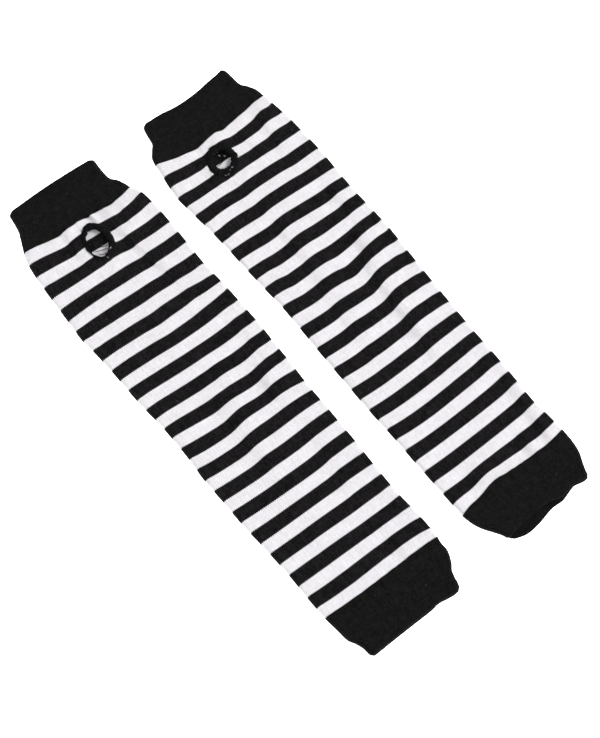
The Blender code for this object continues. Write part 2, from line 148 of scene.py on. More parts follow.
# Thread and yarn: how fine their fibres and strands are, how much each counts in the tone, what is
# taken off it, its least value, and the height and strength of the fibres' relief
FIBRE_SCALE = 4200.0
FIBRE_DETAIL = 3.0
FIBRE_WEIGHT = 0.8
STRAND_SCALE = 900.0
STRAND_DETAIL = 2.0
STRAND_WEIGHT = 5.2
SPUN_OFFSET = 1.9
SPUN_LEAST = 0.15
SPUN_RELIEF = 0.08
SPUN_STRENGTH = 0.8

# Thumb hole's rolled edge: points round it and round its section, its unevenness, how far it is bent
# in and out, and how far inside the overcast loops it lies, at its sides and at its top
RING_POINTS = 120
RING_SIDES = 14
EDGE_ROUGHNESS = 0.14
EDGE_LUMPS = 0.7
EDGE_INSET = 0.1
EDGE_SUNK = 0.25
# How fine the lumps of its outside and its inside and its roughness are, and what sets them apart
OUTSIDE_FINENESS = 3
INSIDE_FINENESS = 4
ROUGH_FINENESS = 9
INSIDE_SEED = 9
ROUGH_SEED = 0.3
# Overcast loops: lean and its spread in radians, shortest and longest, and steps round a loop
SLANT = 0.22
SLANT_SPREAD = 0.28
LOOP_SHORTEST = 0.88
LOOP_LONGEST = 1.14
LOOP_STEPS = 14
# Joining stitches: how many there are for each column, height, sizes from and to, and steps of each
JOINS_PER_WALE = 0.5
JOIN_RISE = 0.16
JOIN_LEAST = (0.85, 1.0, 0.8)
JOIN_MOST = (1.2, 1.0, 1.15)
JOIN_STEPS = 6
# Sides of the sewn thread
THREAD_SIDES = 6
# Seeds of the random lean and length of the loops and of the random size of the joining stitches
SLANT_SEED = 11
LOOP_SEED = 4
JOIN_SEED = 7

# Ends of white yarn: half thickness, how far their ends dip, how much they slope, and their steps
YARN_RADIUS = 0.38
YARN_ARCH = 1.0
YARN_SLOPE = 0.25
YARN_STEPS = 9
# Loose threads: heights of their ends and of their lowest point, and their share of full thickness
THREAD_END_HEIGHT = 2.8
THREAD_LOW = 1.75
THREAD_STEPS = 16
LOOSE_SHARE = 0.7
# Both: sides, how thick a tip is and how fast it grows, and a way in which none of them runs
STRAND_SIDES = 8
TIP_SHARE = 0.45
TIP_GROWTH = 2.2
NO_STRANDS_WAY = (0.31, 0.17, 0.93)

# Camera, at the photograph's angle
CAMERA_TARGET = (4.71, -15.47, 3.3)
CAMERA_DISTANCE = 1610.16
CAMERA_ELEVATION = 62.908
CAMERA_LENS = 130.91
# The floor is a white table that is lit from below
FLOOR_GLOW = 2.2
FLOOR_TONE = 0.94
FLOOR_UNEVENNESS = 0.01
FLOOR_GRAIN_SCALE = 30.0
FLOOR_GRAIN_DETAIL = 2.0
WHITE = (1.0, 1.0, 1.0)
# The surround's walls reach up to here and its ceiling starts here, as sines of the angle upwards
WALL_TOP = 0.35
CEILING_EDGE = 0.75


class Shape(NamedTuple):
    """One row of a shape table, in millimetres but for the round's number."""

    course: float
    along: float
    middle: float
    half: float
    lean: float
    bow: float
    wave: float


class Crease(NamedTuple):
    """A soft trough in the upper layer from one end to the other; a negative depth is a swell."""

    along_from: float
    across_from: float
    along_to: float
    across_to: float
    width: float
    depth: float


class Oval(NamedTuple):
    """An oval round the thumb hole, turned anticlockwise by its tilt in degrees."""

    along: float
    across: float
    long_radius: float
    short_radius: float
    tilt: float


class Pull(NamedTuple):
    """A place where the knit is tugged along the mitten, how far its reach is, and how far it moves."""

    along: float
    across: float
    reach_along: float
    reach_across: float
    shift: float


class YarnEnd(NamedTuple):
    """A cut end of white yarn: its top's place, the way that it lies in degrees, and its length."""

    across: float
    along: float
    height: float
    bearing: float
    length: float


class LooseThread(NamedTuple):
    """A loose thread across a thumb hole, from end to end, and how far its middle bends along."""

    across_from: float
    along_from: float
    across_to: float
    along_to: float
    bend: float


class Mitten(NamedTuple):
    """Where a mitten lies, how it is turned, and the tables that shape it."""

    name: str
    place: tuple
    turn: float
    shapes: tuple
    creases: tuple
    pulls: tuple
    ring_outside: Oval
    ring_inside: Oval
    under_reach: float
    under_shift: float
    yarn_ends: tuple
    loose_threads: tuple


class YarnTone(NamedTuple):
    """A knitted yarn's painted shade in the gaps between its stitches, and how uneven its tone is."""

    gaps: float
    contrast: float


class Mottle(NamedTuple):
    """A noise over the knit: how it is stretched, how fine and detailed it is, and its weight."""

    stretch: tuple
    scale: float
    detail: float
    weight: float


class Lamp(NamedTuple):
    """A large square light: its place and side in metres, and the setting that holds its power."""

    name: str
    place: tuple
    side: float
    setting: str


# Painted shade: the colour in the gaps between stitches is darkened to this share, where shade falls;
# the contrast is the random unevenness of the yarn's tone
WHITE_SHADE_AND_TONE = YarnTone(gaps=0.82, contrast=0.12)
BLACK_SHADE_AND_TONE = YarnTone(gaps=0.40, contrast=1.75)
CUFF_SHADE_AND_TONE = YarnTone(gaps=0.40, contrast=1.40)

FUZZ = Mottle((1.0, 1.0, 1.0), 3.4, 3.0, 1.0)
STREAKS = (
    #      stretch        scale  detail  weight
    Mottle((1.0, 0.12, 1.0), 0.8, 2.0, 0.8),
    Mottle((0.14, 1.0, 1.0), 0.55, 2.0, 0.5),
    Mottle((1.0, 0.7, 1.0), 0.22, 2.0, 0.5),
)

LAMPS = (
    Lamp("key", (3.8, 1.3, 2.9), 2.2, "key_power"),
    Lamp("fill", (-0.5, -1.1, 1.9), 1.4, "fill_power"),
)

LEFT_SHAPES = (
    #     course  along  middle  half  lean   bow  wave
    Shape(-4.00, 2.9, 1.2, 30.9, -0.4, 0.9, 0.0),
    Shape(-3.75, 5.2, 1.1, 32.6, -0.4, 0.8, 0.0),
    Shape(-3.20, 9.6, 0.7, 32.7, -0.2, 0.6, 0.0),
    Shape(-2.00, 19.4, -0.1, 33.5, 0.3, 0.0, 0.0),
    Shape(-1.70, 22.0, -0.3, 34.3, 0.6, -0.3, -0.2),
    Shape(-1.20, 26.3, 0.5, 36.6, 1.1, -0.8, -0.5),
    Shape(-0.50, 32.2, 0.6, 38.7, 2.1, -1.6, -1.1),
    Shape(0.00, 36.4, 0.2, 40.0, 2.6, -2.0, -1.4),
    Shape(1.00, 44.5, 0.9, 43.2, 1.7, -1.7, -1.2),
    Shape(3.00, 61.3, 0.6, 44.7, 0.6, -0.1, -0.9),
    Shape(6.00, 87.4, -0.3, 45.2, 1.1, 0.5, -1.6),
    Shape(8.00, 105.3, -1.0, 45.3, 0.2, 0.1, 1.2),
    Shape(9.00, 114.0, -0.2, 45.1, 0.0, 0.5, 1.9),
    Shape(11.00, 132.1, 0.5, 44.9, 0.9, -2.5, -2.6),
    Shape(14.00, 158.0, 0.9, 44.9, 1.0, -2.0, -1.2),
    Shape(17.00, 183.3, 1.3, 43.6, 0.5, -2.6, -1.0),
    Shape(18.00, 191.7, 1.3, 43.5, -0.4, -3.6, -0.6),
    Shape(20.00, 207.3, 0.7, 43.1, -3.4, -0.3, 3.6),
    Shape(22.00, 224.2, 0.1, 43.5, -2.3, -0.8, 2.0),
    Shape(24.00, 241.7, 0.2, 43.2, -1.0, -1.4, 0.0),
    Shape(26.00, 258.9, 0.1, 43.0, -0.5, -1.7, -0.6),
    Shape(28.00, 275.6, 0.2, 42.1, -0.6, -0.3, 0.0),
    Shape(31.00, 301.6, 0.6, 41.4, 0.4, -0.3, -0.8),
    Shape(33.00, 318.7, 1.0, 42.0, -1.2, 0.2, 1.1),
    Shape(34.00, 327.4, 1.0, 42.0, -1.9, 0.1, 2.2),
    Shape(35.00, 335.7, 0.8, 41.6, -1.2, -0.5, 1.2),
    Shape(35.50, 340.3, 0.7, 41.0, -1.0, -0.4, 0.8),
    Shape(36.00, 344.8, 1.1, 40.8, -0.9, -0.3, 0.5),
    Shape(37.00, 353.2, 0.1, 38.8, -0.7, -0.1, 0.0),
    Shape(37.50, 357.6, -0.3, 36.0, -0.7, 0.0, 0.0),
    Shape(38.00, 361.9, -0.2, 34.6, -0.8, 0.1, 0.0),
    Shape(38.65, 366.7, -0.5, 33.7, -0.9, 0.3, 0.0),
    Shape(39.00, 368.9, -0.6, 32.4, -1.0, 0.4, 0.0),
)

RIGHT_SHAPES = (
    #     course  along  middle  half  lean   bow  wave
    Shape(-4.00, 5.4, 0.1, 32.0, -1.3, -3.3, -0.6),
    Shape(-3.70, 7.9, -0.3, 33.5, -1.3, -3.2, -0.6),
    Shape(-3.20, 12.0, -0.6, 34.2, -1.4, -3.0, 0.0),
    Shape(-2.20, 19.6, -0.8, 35.2, -1.8, -3.0, 0.8),
    Shape(-1.50, 24.9, -0.7, 38.5, -2.4, -3.6, 1.7),
    Shape(-0.70, 31.2, -1.1, 41.6, -3.0, -4.5, 2.5),
    Shape(0.00, 37.0, -1.2, 42.6, -3.3, -5.0, 2.9),
    Shape(1.00, 44.2, -1.2, 43.9, -1.6, -3.0, -1.0),
    Shape(3.00, 59.3, -1.0, 45.7, -1.7, -0.9, -0.5),
    Shape(5.00, 75.6, 0.0, 45.4, -0.2, 0.4, -0.1),
    Shape(7.00, 92.1, 0.8, 44.7, -0.5, 0.6, 0.8),
    Shape(9.00, 109.5, 0.9, 44.0, -0.9, 0.1, 1.0),
    Shape(11.00, 126.5, 1.1, 43.7, -1.2, -0.6, -0.4),
    Shape(13.00, 143.7, 1.7, 43.6, -0.8, -2.0, -1.2),
    Shape(15.00, 160.8, 2.2, 43.2, -1.6, -3.7, -1.6),
    Shape(17.00, 177.9, 1.6, 42.9, -2.8, -2.6, -0.3),
    Shape(20.00, 203.6, 0.7, 42.5, -3.0, -1.8, 0.7),
    Shape(22.00, 220.7, 0.3, 42.2, -3.7, -1.3, 2.3),
    Shape(25.00, 246.5, -0.1, 41.9, -3.0, -1.2, 1.2),
    Shape(28.00, 272.3, 0.1, 41.5, -2.8, -1.6, 1.2),
    Shape(30.00, 289.4, -0.2, 41.2, -1.8, -1.3, -0.6),
    Shape(32.00, 306.4, -0.4, 40.7, -2.2, -0.9, -0.1),
    Shape(33.00, 314.6, 0.1, 41.1, -2.1, 0.1, -0.5),
    Shape(34.00, 322.3, 0.3, 41.2, -0.8, 1.0, -2.2),
    Shape(35.00, 329.3, 0.5, 41.2, 0.3, 1.9, -4.2),
    Shape(35.70, 335.0, 0.8, 40.9, -0.3, 0.8, -2.4),
    Shape(36.50, 341.6, 1.1, 40.0, -0.6, -0.2, -0.9),
    Shape(37.20, 347.2, 1.4, 38.1, -0.6, -0.2, 0.0),
    Shape(37.80, 351.8, 2.1, 35.3, -0.5, 0.6, 0.0),
    Shape(38.40, 355.6, 2.9, 32.6, -0.4, 1.6, 0.0),
    Shape(38.80, 357.5, 3.0, 31.7, -0.3, 2.1, 0.0),
    Shape(39.00, 358.5, 3.1, 30.8, -0.3, 2.3, 0.0),
)

LEFT_CREASES = (
    #      along_from  across_from  along_to  across_to  width  depth
    Crease(38.0, 11.2, 110.0, 20.5, 4.5, 0.75),
    Crease(22.0, 15.0, 54.0, 16.0, 4.0, 0.50),
    Crease(22.0, 24.0, 54.0, 23.5, 4.5, 0.70),
    Crease(22.0, -17.5, 66.0, -17.5, 4.0, 0.65),
    Crease(148.0, 31.5, 190.0, 32.5, 4.0, 0.50),
    Crease(176.0, 22.5, 212.0, 17.5, 6.5, 0.80),
    Crease(176.0, -12.5, 250.0, -16.5, 8.0, 0.60),
    Crease(164.0, 1.0, 188.0, 0.0, 4.0, 0.30),
    Crease(232.0, 22.5, 294.0, 15.0, 6.0, 0.48),
    Crease(312.0, 16.0, 344.0, 16.5, 6.5, 0.55),
    Crease(280.0, 36.0, 322.0, 34.0, 3.5, 0.48),
    Crease(284.0, -20.0, 310.0, -21.0, 4.0, 0.25),
    Crease(35.5, 6.2, 45.0, 8.2, 2.0, 1.00),
    Crease(24.0, -34.5, 50.0, -35.0, 5.0, -0.50),
    Crease(56.0, 21.0, 106.0, 28.0, 7.0, -0.30),
    Crease(110.0, -6.0, 180.0, 2.0, 15.0, -0.50),
    Crease(180.0, 32.0, 208.0, 28.5, 6.5, -0.80),
    Crease(188.0, 1.5, 240.0, -2.0, 9.0, -0.50),
    Crease(246.0, -12.0, 306.0, -6.0, 13.0, -0.40),
)

RIGHT_CREASES = (
    #      along_from  across_from  along_to  across_to  width  depth
    Crease(98.0, -12.8, 172.0, -16.6, 4.5, 0.52),
    Crease(156.0, -19.5, 226.0, -24.5, 5.0, 0.45),
    Crease(144.0, 21.5, 168.0, 18.0, 6.0, 0.75),
    Crease(160.0, 13.8, 254.0, 6.0, 6.0, 0.72),
    Crease(108.0, 30.0, 136.0, 30.0, 5.0, 0.90),
    Crease(272.0, 35.3, 338.0, 27.0, 4.5, 0.90),
    Crease(278.0, 40.0, 336.0, 33.5, 4.0, -0.70),
    Crease(22.0, -19.0, 48.0, -18.0, 5.0, 0.70),
    Crease(22.0, -10.0, 46.0, -9.5, 5.0, 0.60),
    Crease(45.0, -24.5, 68.0, -24.5, 3.5, 0.50),
    Crease(38.0, 25.0, 72.0, 25.0, 4.5, 0.75),
    Crease(40.0, 8.5, 66.0, 9.0, 5.0, 0.50),
    Crease(22.0, 31.0, 46.0, 30.5, 4.5, 0.70),
    Crease(312.0, 13.0, 346.0, 13.0, 6.5, 0.75),
    Crease(312.0, -27.0, 346.0, -26.0, 8.0, 0.60),
    Crease(42.0, 35.0, 66.0, 34.0, 5.0, -0.30),
    Crease(62.0, 14.0, 112.0, 10.0, 11.0, -0.40),
    Crease(110.0, 38.0, 134.0, 38.0, 5.0, -0.90),
    Crease(130.0, -3.0, 214.0, -12.0, 8.0, -0.30),
    Crease(144.0, 34.0, 168.0, 31.5, 7.0, -1.20),
    Crease(150.0, -32.0, 212.0, -33.0, 7.5, -0.40),
    Crease(164.0, 24.5, 240.0, 17.0, 8.0, -0.95),
    Crease(254.0, 4.0, 320.0, 2.0, 14.0, -0.45),
    Crease(314.0, -34.0, 344.0, -34.0, 5.0, -0.50),
)

LEFT_PULLS = (
    #    along  across  reach_along  reach_across  shift
    Pull(38.0, -20.0, 18.0, 8.0, 1.2),
    Pull(40.0, 1.0, 18.0, 9.0, -1.3),
    Pull(44.0, 22.0, 12.0, 7.0, 0.6),
    Pull(42.0, 42.0, 17.0, 6.0, -1.3),
    Pull(38.0, 13.5, 14.0, 4.5, -0.8),
    Pull(64.0, -42.0, 12.0, 8.0, -0.8),
    Pull(66.0, 4.0, 10.0, 7.0, -1.0),
    Pull(112.0, -43.0, 17.0, 6.0, 0.9),
    Pull(122.0, -3.0, 20.0, 8.0, 0.8),
    Pull(123.0, 24.0, 12.0, 6.0, -0.6),
    Pull(109.0, 42.0, 8.0, 5.0, -0.9),
    Pull(139.0, 44.0, 13.0, 6.0, 1.6),
    Pull(172.0, -43.0, 28.0, 6.0, 0.8),
    Pull(172.0, 9.0, 14.0, 7.0, -0.6),
    Pull(172.0, 33.0, 16.0, 5.0, -0.6),
    Pull(168.0, 44.0, 14.0, 5.0, 0.6),
    Pull(199.0, 1.0, 20.0, 8.0, -0.9),
    Pull(193.0, 43.0, 13.0, 6.0, 1.2),
    Pull(228.0, -6.0, 14.0, 7.0, -0.5),
    Pull(258.0, 23.0, 26.0, 7.0, -0.5),
    Pull(256.0, 43.0, 28.0, 6.0, 1.1),
    Pull(322.0, 43.0, 16.0, 6.0, 0.8),
    Pull(334.0, -42.0, 8.0, 7.0, 0.5),
    Pull(368.0, 17.0, 8.0, 4.0, -0.8),
    Pull(368.0, 28.0, 8.0, 4.0, 0.7),
)

RIGHT_PULLS = (
    #    along  across  reach_along  reach_across  shift
    Pull(50.0, -41.0, 13.0, 9.0, -1.1),
    Pull(43.0, -3.0, 14.0, 8.0, -1.4),
    Pull(48.0, 17.0, 14.0, 8.0, 0.7),
    Pull(40.0, 32.0, 9.0, 5.0, -0.8),
    Pull(50.0, 42.0, 13.0, 6.0, 1.3),
    Pull(94.0, -42.0, 18.0, 7.0, 1.4),
    Pull(84.0, -13.0, 24.0, 6.0, 0.6),
    Pull(84.0, 26.0, 12.0, 6.0, 0.6),
    Pull(92.0, 42.0, 12.0, 6.0, -0.6),
    Pull(126.0, -20.0, 20.0, 7.0, 0.7),
    Pull(124.0, -2.0, 26.0, 8.0, -0.8),
    Pull(116.0, 22.0, 10.0, 7.0, 0.7),
    Pull(152.0, -27.0, 22.0, 6.0, 0.8),
    Pull(166.0, -11.0, 16.0, 7.0, -0.8),
    Pull(168.0, 7.0, 20.0, 6.0, 0.9),
    Pull(188.0, 22.0, 32.0, 8.0, -1.0),
    Pull(176.0, 43.0, 30.0, 6.0, 2.4),
    Pull(204.0, -19.0, 24.0, 6.0, -0.6),
    Pull(228.0, -42.0, 16.0, 6.0, 0.4),
    Pull(268.0, 33.0, 22.0, 5.0, -0.5),
    Pull(312.0, 41.0, 18.0, 6.0, -0.6),
    Pull(322.0, -42.0, 10.0, 7.0, -0.7),
    Pull(330.0, -26.0, 11.0, 6.0, 0.6),
    Pull(331.0, -12.0, 12.0, 6.0, -1.0),
    Pull(6.0, -20.0, 8.0, 8.0, -1.0),
    Pull(6.0, 19.0, 8.0, 9.0, -0.8),
    Pull(6.0, -34.0, 8.0, 3.0, -0.7),
    Pull(38.0, 6.0, 7.0, 4.0, 1.0),
    Pull(38.0, -17.0, 8.0, 6.0, 0.5),
    Pull(38.0, 37.0, 7.0, 5.0, 0.8),
    Pull(60.0, -34.0, 12.0, 6.0, 0.5),
    Pull(144.0, -32.0, 12.0, 5.0, -0.6),
    Pull(145.0, 43.0, 30.0, 4.0, 0.5),
    Pull(161.0, -1.0, 12.0, 5.0, -0.5),
    Pull(195.0, -12.0, 14.0, 5.0, -0.6),
    Pull(235.0, 43.0, 45.0, 4.0, 0.6),
    Pull(358.0, -27.0, 8.0, 3.5, 1.3),
    Pull(360.0, -19.0, 8.0, 5.0, 0.4),
    Pull(358.0, 13.0, 8.0, 6.0, 2.0),
    Pull(358.0, 24.5, 8.0, 3.0, -0.8),
    Pull(356.0, 37.0, 8.0, 3.5, -1.2),
)

MITTENS = (
    Mitten(
        name="left",
        place=(-153.61, 114.55),
        turn=37.66,
        shapes=LEFT_SHAPES,
        creases=LEFT_CREASES,
        pulls=LEFT_PULLS,
        ring_outside=Oval(53.9, 1.9, 14.2, 9.5, 8.0),
        ring_inside=Oval(54.6, 0.2, 10.2, 6.5, 14.0),
        under_reach=0.0,
        under_shift=4.1,
        yarn_ends=(
            #       across  along  height  bearing  length
            YarnEnd(4.5, 63.0, 4.6, -30.0, 2.1),
            YarnEnd(-0.7, 67.2, 4.5, 60.0, 1.6),
        ),
        loose_threads=(
            #           across_from  along_from  across_to  along_to  bend
            LooseThread(-4.6, 58.4, 4.2, 61.4, -0.3),
            LooseThread(-1.8, 56.3, 6.3, 59.3, 0.4),
            LooseThread(-3.4, 60.9, 2.4, 63.6, 0.5),
        ),
    ),
    Mitten(
        name="right",
        place=(-70.33, 179.54),
        turn=37.21,
        shapes=RIGHT_SHAPES,
        creases=RIGHT_CREASES,
        pulls=RIGHT_PULLS,
        ring_outside=Oval(54.6, -8.6, 12.6, 10.3, 28.0),
        ring_inside=Oval(54.2, -8.1, 6.7, 5.9, 20.0),
        under_reach=3.9,
        under_shift=2.6,
        yarn_ends=(
            #       across  along  height  bearing  length
            YarnEnd(-6.8, 63.0, 4.6, 10.0, 1.8),
            YarnEnd(-13.2, 65.3, 4.3, 30.0, 1.4),
            YarnEnd(-11.4, 65.7, 4.3, -20.0, 1.1),
            YarnEnd(-8.9, 63.6, 4.1, 50.0, 1.1),
            YarnEnd(-5.2, 52.6, 3.2, 70.0, 1.5),
            YarnEnd(-7.6, 50.4, 2.9, 80.0, 1.7),
        ),
        loose_threads=(
            #           across_from  along_from  across_to  along_to  bend
            LooseThread(-13.4, 56.2, -4.4, 52.8, 0.6),
        ),
    ),
)


class Ring(NamedTuple):
    """The columns of points round a section: their shares of the width, or their angles at a fold."""

    upper: np.ndarray
    right_fold: np.ndarray
    under: np.ndarray
    left_fold: np.ndarray


FOLD_ANGLES = math.pi * np.arange(1, FOLD_STEPS) / FOLD_STEPS
RING = Ring(
    upper=np.linspace(-1, 1, UPPER_STEPS + 1),
    right_fold=math.pi / 2 - FOLD_ANGLES,
    under=np.linspace(1, -1, UNDER_STEPS + 1),
    left_fold=-math.pi / 2 - FOLD_ANGLES,
)
IS_UNDER = np.repeat((0, 0, 1, 0), [len(part) for part in RING])


# ---------------------------------------------------------------- settings


def count(name, description, default):
    return bpy.props.IntProperty(name=name, description=description, default=default, min=1)


def length(name, description, default):
    """A length that is given in millimetres."""
    return bpy.props.FloatProperty(
        name=name, description=description, default=default * MM, unit="LENGTH", subtype="DISTANCE"
    )


def colour(name, description, default):
    return bpy.props.FloatVectorProperty(
        name=name, description=description, default=default, subtype="COLOR", min=0.0, max=1.0
    )


def light(name, description, default, unit="NONE"):
    return bpy.props.FloatProperty(name=name, description=description, default=default, unit=unit)


class MITTENS_PG_knit(bpy.types.PropertyGroup):
    """The fabric: how it is knitted and how much its stitches stand out."""

    wales: count("Wales", "Columns of stitches round a tube", 136)
    white_rows: count("White rows", "Rows of stitches in a white stripe", 9)
    black_rows: count("Black rows", "Rows of stitches in a black stripe", 10)
    stitch_relief: length("Stitch relief", "How far a stitch stands out of the fabric", 0.36)
    ply: length("Cuff ply", "Thickness of each of the two plies of a doubled cuff", 0.85)


class MITTENS_PG_colours(bpy.types.PropertyGroup):
    """The yarns' colours."""

    white: colour("White yarn", "Colour of the white stripes", (0.885, 0.86, 0.895))
    black: colour("Black yarn", "Colour of the black stripes", (0.0080, 0.0071, 0.0080))
    cuff: colour("Cuff yarn", "Colour of the black cuffs", (0.0058, 0.0057, 0.0055))
    thread: colour("Sewing thread", "Colour of the overcasting and the seams", (0.0042, 0.0039, 0.0043))
    # The yarn ends' grey is painted shade: white yarn darkened for the shadow among the black overcast
    # stitches
    yarn_end: colour("Yarn ends", "Colour of the white yarn's cut and dulled ends", (0.15, 0.145, 0.15))


class MITTENS_PG_sewing(bpy.types.PropertyGroup):
    """The stitches that are sewn by hand or by machine."""

    overcast_stitches: count("Overcast stitches", "Stitches round the edge of a thumb hole", 78)
    thread_radius: length("Thread radius", "Radius of the overcasting thread", 0.30)
    seam_thread_radius: length("Seam thread radius", "Radius of a cuff seam's thread", 0.20)
    seam_bite: length("Seam bite", "How far a joining stitch reaches from end to end", 1.0)


class MITTENS_PG_stage(bpy.types.PropertyGroup):
    """The floor and the lights."""

    floor_side: length("Floor side", "Side of the square floor", 6000.0)
    key_power: light("Key light", "Power of the large light beside the pair", 275.0, "POWER")
    fill_power: light("Fill light", "Power of the light by the camera", 14.0, "POWER")
    walls: light("Walls", "Strength of the light from the white walls all round", 1.55)
    ceiling: light("Ceiling", "Strength of the even light from above", 0.10)


def settings(name):
    """One of this file's setting groups on the scene."""
    return getattr(bpy.context.scene, f"mittens_{name}")


# ---------------------------------------------------------------- shapes


def smooth_curve(knots, values, at):
    """Values on a smooth curve through the knots that never overshoots them."""
    steps = np.diff(knots)
    slopes = np.diff(values) / steps
    tangents = np.zeros(len(knots))
    tangents[0], tangents[-1] = slopes[0], slopes[-1]
    before, after = 2 * steps[1:] + steps[:-1], steps[1:] + 2 * steps[:-1]
    same_way = slopes[:-1] * slopes[1:] > 0
    first, second = np.where(same_way, slopes[:-1], 1), np.where(same_way, slopes[1:], 1)
    tangents[1:-1] = np.where(same_way, (before + after) / (before / first + after / second), 0)
    i = np.clip(np.searchsorted(knots, at) - 1, 0, len(steps) - 1)
    u = (at - knots[i]) / steps[i]
    return (
        (1 + 2 * u) * (1 - u) ** 2 * values[i]
        + u * (1 - u) ** 2 * steps[i] * tangents[i]
        + u * u * (3 - 2 * u) * values[i + 1]
        + u * u * (u - 1) * steps[i] * tangents[i + 1]
    )


def shape_rows(mitten, courses):
    """The shapes of some rounds, as a Shape whose fields are columns of numbers."""
    courses = np.atleast_1d(np.asarray(courses, float))
    columns = np.array(mitten.shapes).T
    fields = [smooth_curve(columns[0], column, courses) for column in columns[1:]]
    return Shape(*(field[:, None] for field in (courses, *fields)))


def course_near(mitten, along):
    """The round whose middle lies at a distance along the mitten."""
    columns = np.array(mitten.shapes).T
    return np.interp(along, columns[1], columns[0])


def crease_place(crease, along, across):
    """How far places lie to the right of a crease and past its ends, and how full it is there."""
    run_along, run_across = crease.along_to - crease.along_from, crease.across_to - crease.across_from
    off_along, off_across = along - crease.along_from, across - crease.across_from
    run = math.hypot(run_along, run_across)
    share = (off_along * run_along + off_across * run_across) / run**2
    aside = (off_across * run_along - off_along * run_across) / run
    past_end = np.maximum(np.maximum(-share, share - 1), 0.0) * run
    past_full = (np.abs(share - 0.5) - CREASE_FULL_TO) / (CREASE_GONE_AT - CREASE_FULL_TO)
    return aside, past_end, 1 - np.clip(past_full, 0.0, 1.0)


def crease_drop(creases, along, across):
    """How far the creases lower the upper layer at each place."""
    drop = 0.0
    for crease in creases:
        aside, past_end, fade = crease_place(crease, along, across)
        drop = drop + crease.depth * fade * np.exp(-(aside**2 + past_end**2) / crease.width**2)
    return drop


def crease_folds(creases, along, across):
    """How much higher or lower the steep right sides of the troughs make the upper layer."""
    lift = 0.0
    for crease in creases:
        if crease.depth > 0:
            aside, _, fade = crease_place(crease, along, across)
            step = (aside - CREASE_EDGE * crease.width) / (STEEP_SHARE * crease.width)
            lift = lift + STEEP_HEIGHT * crease.depth * fade * step / (1 + step**2)
    return lift


def pulled(pulls, along, across):
    """How far the knit is tugged along the mitten at each place."""
    shift = 0.0
    for pull in pulls:
        off_along = (along - pull.along) / pull.reach_along
        off_across = (across - pull.across) / pull.reach_across
        shift = shift + pull.shift * np.exp(-(off_along**2) - off_across**2)
    return shift


def oval_place(oval, across, along):
    """A place as parts of an oval's long and short radii: their length is 1 on the oval."""
    tilt = math.radians(oval.tilt)
    aside, down = across - oval.across, along - oval.along
    long_part = (aside * math.sin(tilt) - down * math.cos(tilt)) / oval.long_radius
    short_part = (aside * math.cos(tilt) + down * math.sin(tilt)) / oval.short_radius
    return long_part, short_part


def oval_points(oval):
    """Points round an oval, across and up."""
    angle = 2 * math.pi * np.arange(RING_POINTS) / RING_POINTS
    long_part, short_part = oval.long_radius * np.cos(angle), oval.short_radius * np.sin(angle)
    tilt = math.radians(oval.tilt)
    across = oval.across + long_part * math.sin(tilt) + short_part * math.cos(tilt)
    along = oval.along - long_part * math.cos(tilt) + short_part * math.sin(tilt)
    return np.stack([across, -along], axis=1)


def seam_distance(mitten, along):
    """Distance from the nearer cuff seam, below zero in the cuffs."""
    first, last = shape_rows(mitten, (HAND_SEAM, ARM_SEAM)).along[:, 0]
    return np.minimum(along - first, last - along)


def fine_relief(mitten, along, across):
    """Waves, gathers at the cuffs, puckers round the thumb hole and creases' steep sides."""
    seed = Vector((WAVE_SEED[0] * len(mitten.name), 0.0, WAVE_SEED[1]))
    places = np.stack([along / WAVE_LENGTH, across / WAVE_LENGTH, 0 * across], axis=-1).reshape(-1, 3)
    waves = np.array([noise.noise(Vector(place) + seed) for place in places]).reshape(along.shape)
    relief = WAVE_HEIGHT * waves

    drawn_in = np.exp(-((seam_distance(mitten, along) / GATHER_REACH) ** 2))
    drift = GATHER_DRIFT * np.sin(across / GATHER_DRIFT_LENGTH)
    relief += GATHER_HEIGHT * drawn_in * np.cos(2 * math.pi * across / GATHER_LENGTH + drift)

    long_part, short_part = oval_place(mitten.ring_outside, across, along)
    distance = np.hypot(long_part, short_part)
    angle = np.arctan2(short_part, long_part)
    near_ring = np.exp(-(((distance - PUCKER_MIDDLE) / PUCKER_REACH) ** 2))
    relief += PUCKER_HEIGHT * near_ring * np.cos(PUCKER_COUNT * angle + PUCKER_DRIFT * np.sin(2 * angle))
    return relief + crease_folds(mitten.creases, along, across)


def layer_gap(mitten, rows, share, wall, relief=False):
    """The space between the layers at a share of the width, -1 at the left fold and 1 at the right."""
    share = np.broadcast_to(np.asarray(share, float), (len(rows.course), np.size(share)))
    inside_folds = 1 - share**CREASE_CALM_POWER
    across = rows.middle + share * rows.half
    roll = FOLD_ROLL * np.abs(share) ** ROLL_POWER
    from_mouth = np.minimum(rows.course - FIRST_ROUND, LAST_ROUND - rows.course)
    opening = MOUTH_OPENING * np.maximum(0.0, 1 - from_mouth) ** 2 * (1 - share**2)
    cuff_gap = WELT_GAP + roll + opening

    rise_at_seam = 2 * (WELT_WALL - wall) + WELT_GAP - LAYER_GAP
    rise = rise_at_seam * np.exp(-((seam_distance(mitten, rows.along) / CUFF_RISE_LENGTH) ** 2))
    drop = crease_drop(mitten.creases, rows.along, across) * inside_folds
    tube_gap = LAYER_GAP + roll + rise - drop

    in_cuff = (rows.course < HAND_SEAM) | (rows.course > ARM_SEAM)
    gap = np.where(in_cuff, cuff_gap, tube_gap)
    if relief:
        gap = gap + fine_relief(mitten, rows.along + 0 * across, across) * inside_folds
    return np.maximum(gap, LEAST_GAP)


def under_displacement(mitten, rows, share):
    """How far the under layer lies further along than the upper one, by row and column."""
    from_full = (rows.course - UNDER_SHIFT_FULL_TO) / (UNDER_SHIFT_GONE_AT - UNDER_SHIFT_FULL_TO)
    fade = 1 - np.clip(from_full, 0, 1)
    grow_in = np.clip((rows.course - FIRST_ROUND) / (HAND_SEAM - FIRST_ROUND), 0, 1)
    near_hand = mitten.under_shift * fade * grow_in**2 * (1 - share**2)
    reach = mitten.under_reach * near_arm_mouth(rows) * (1 - share**2) * (1 - share) ** 2
    return near_hand + reach


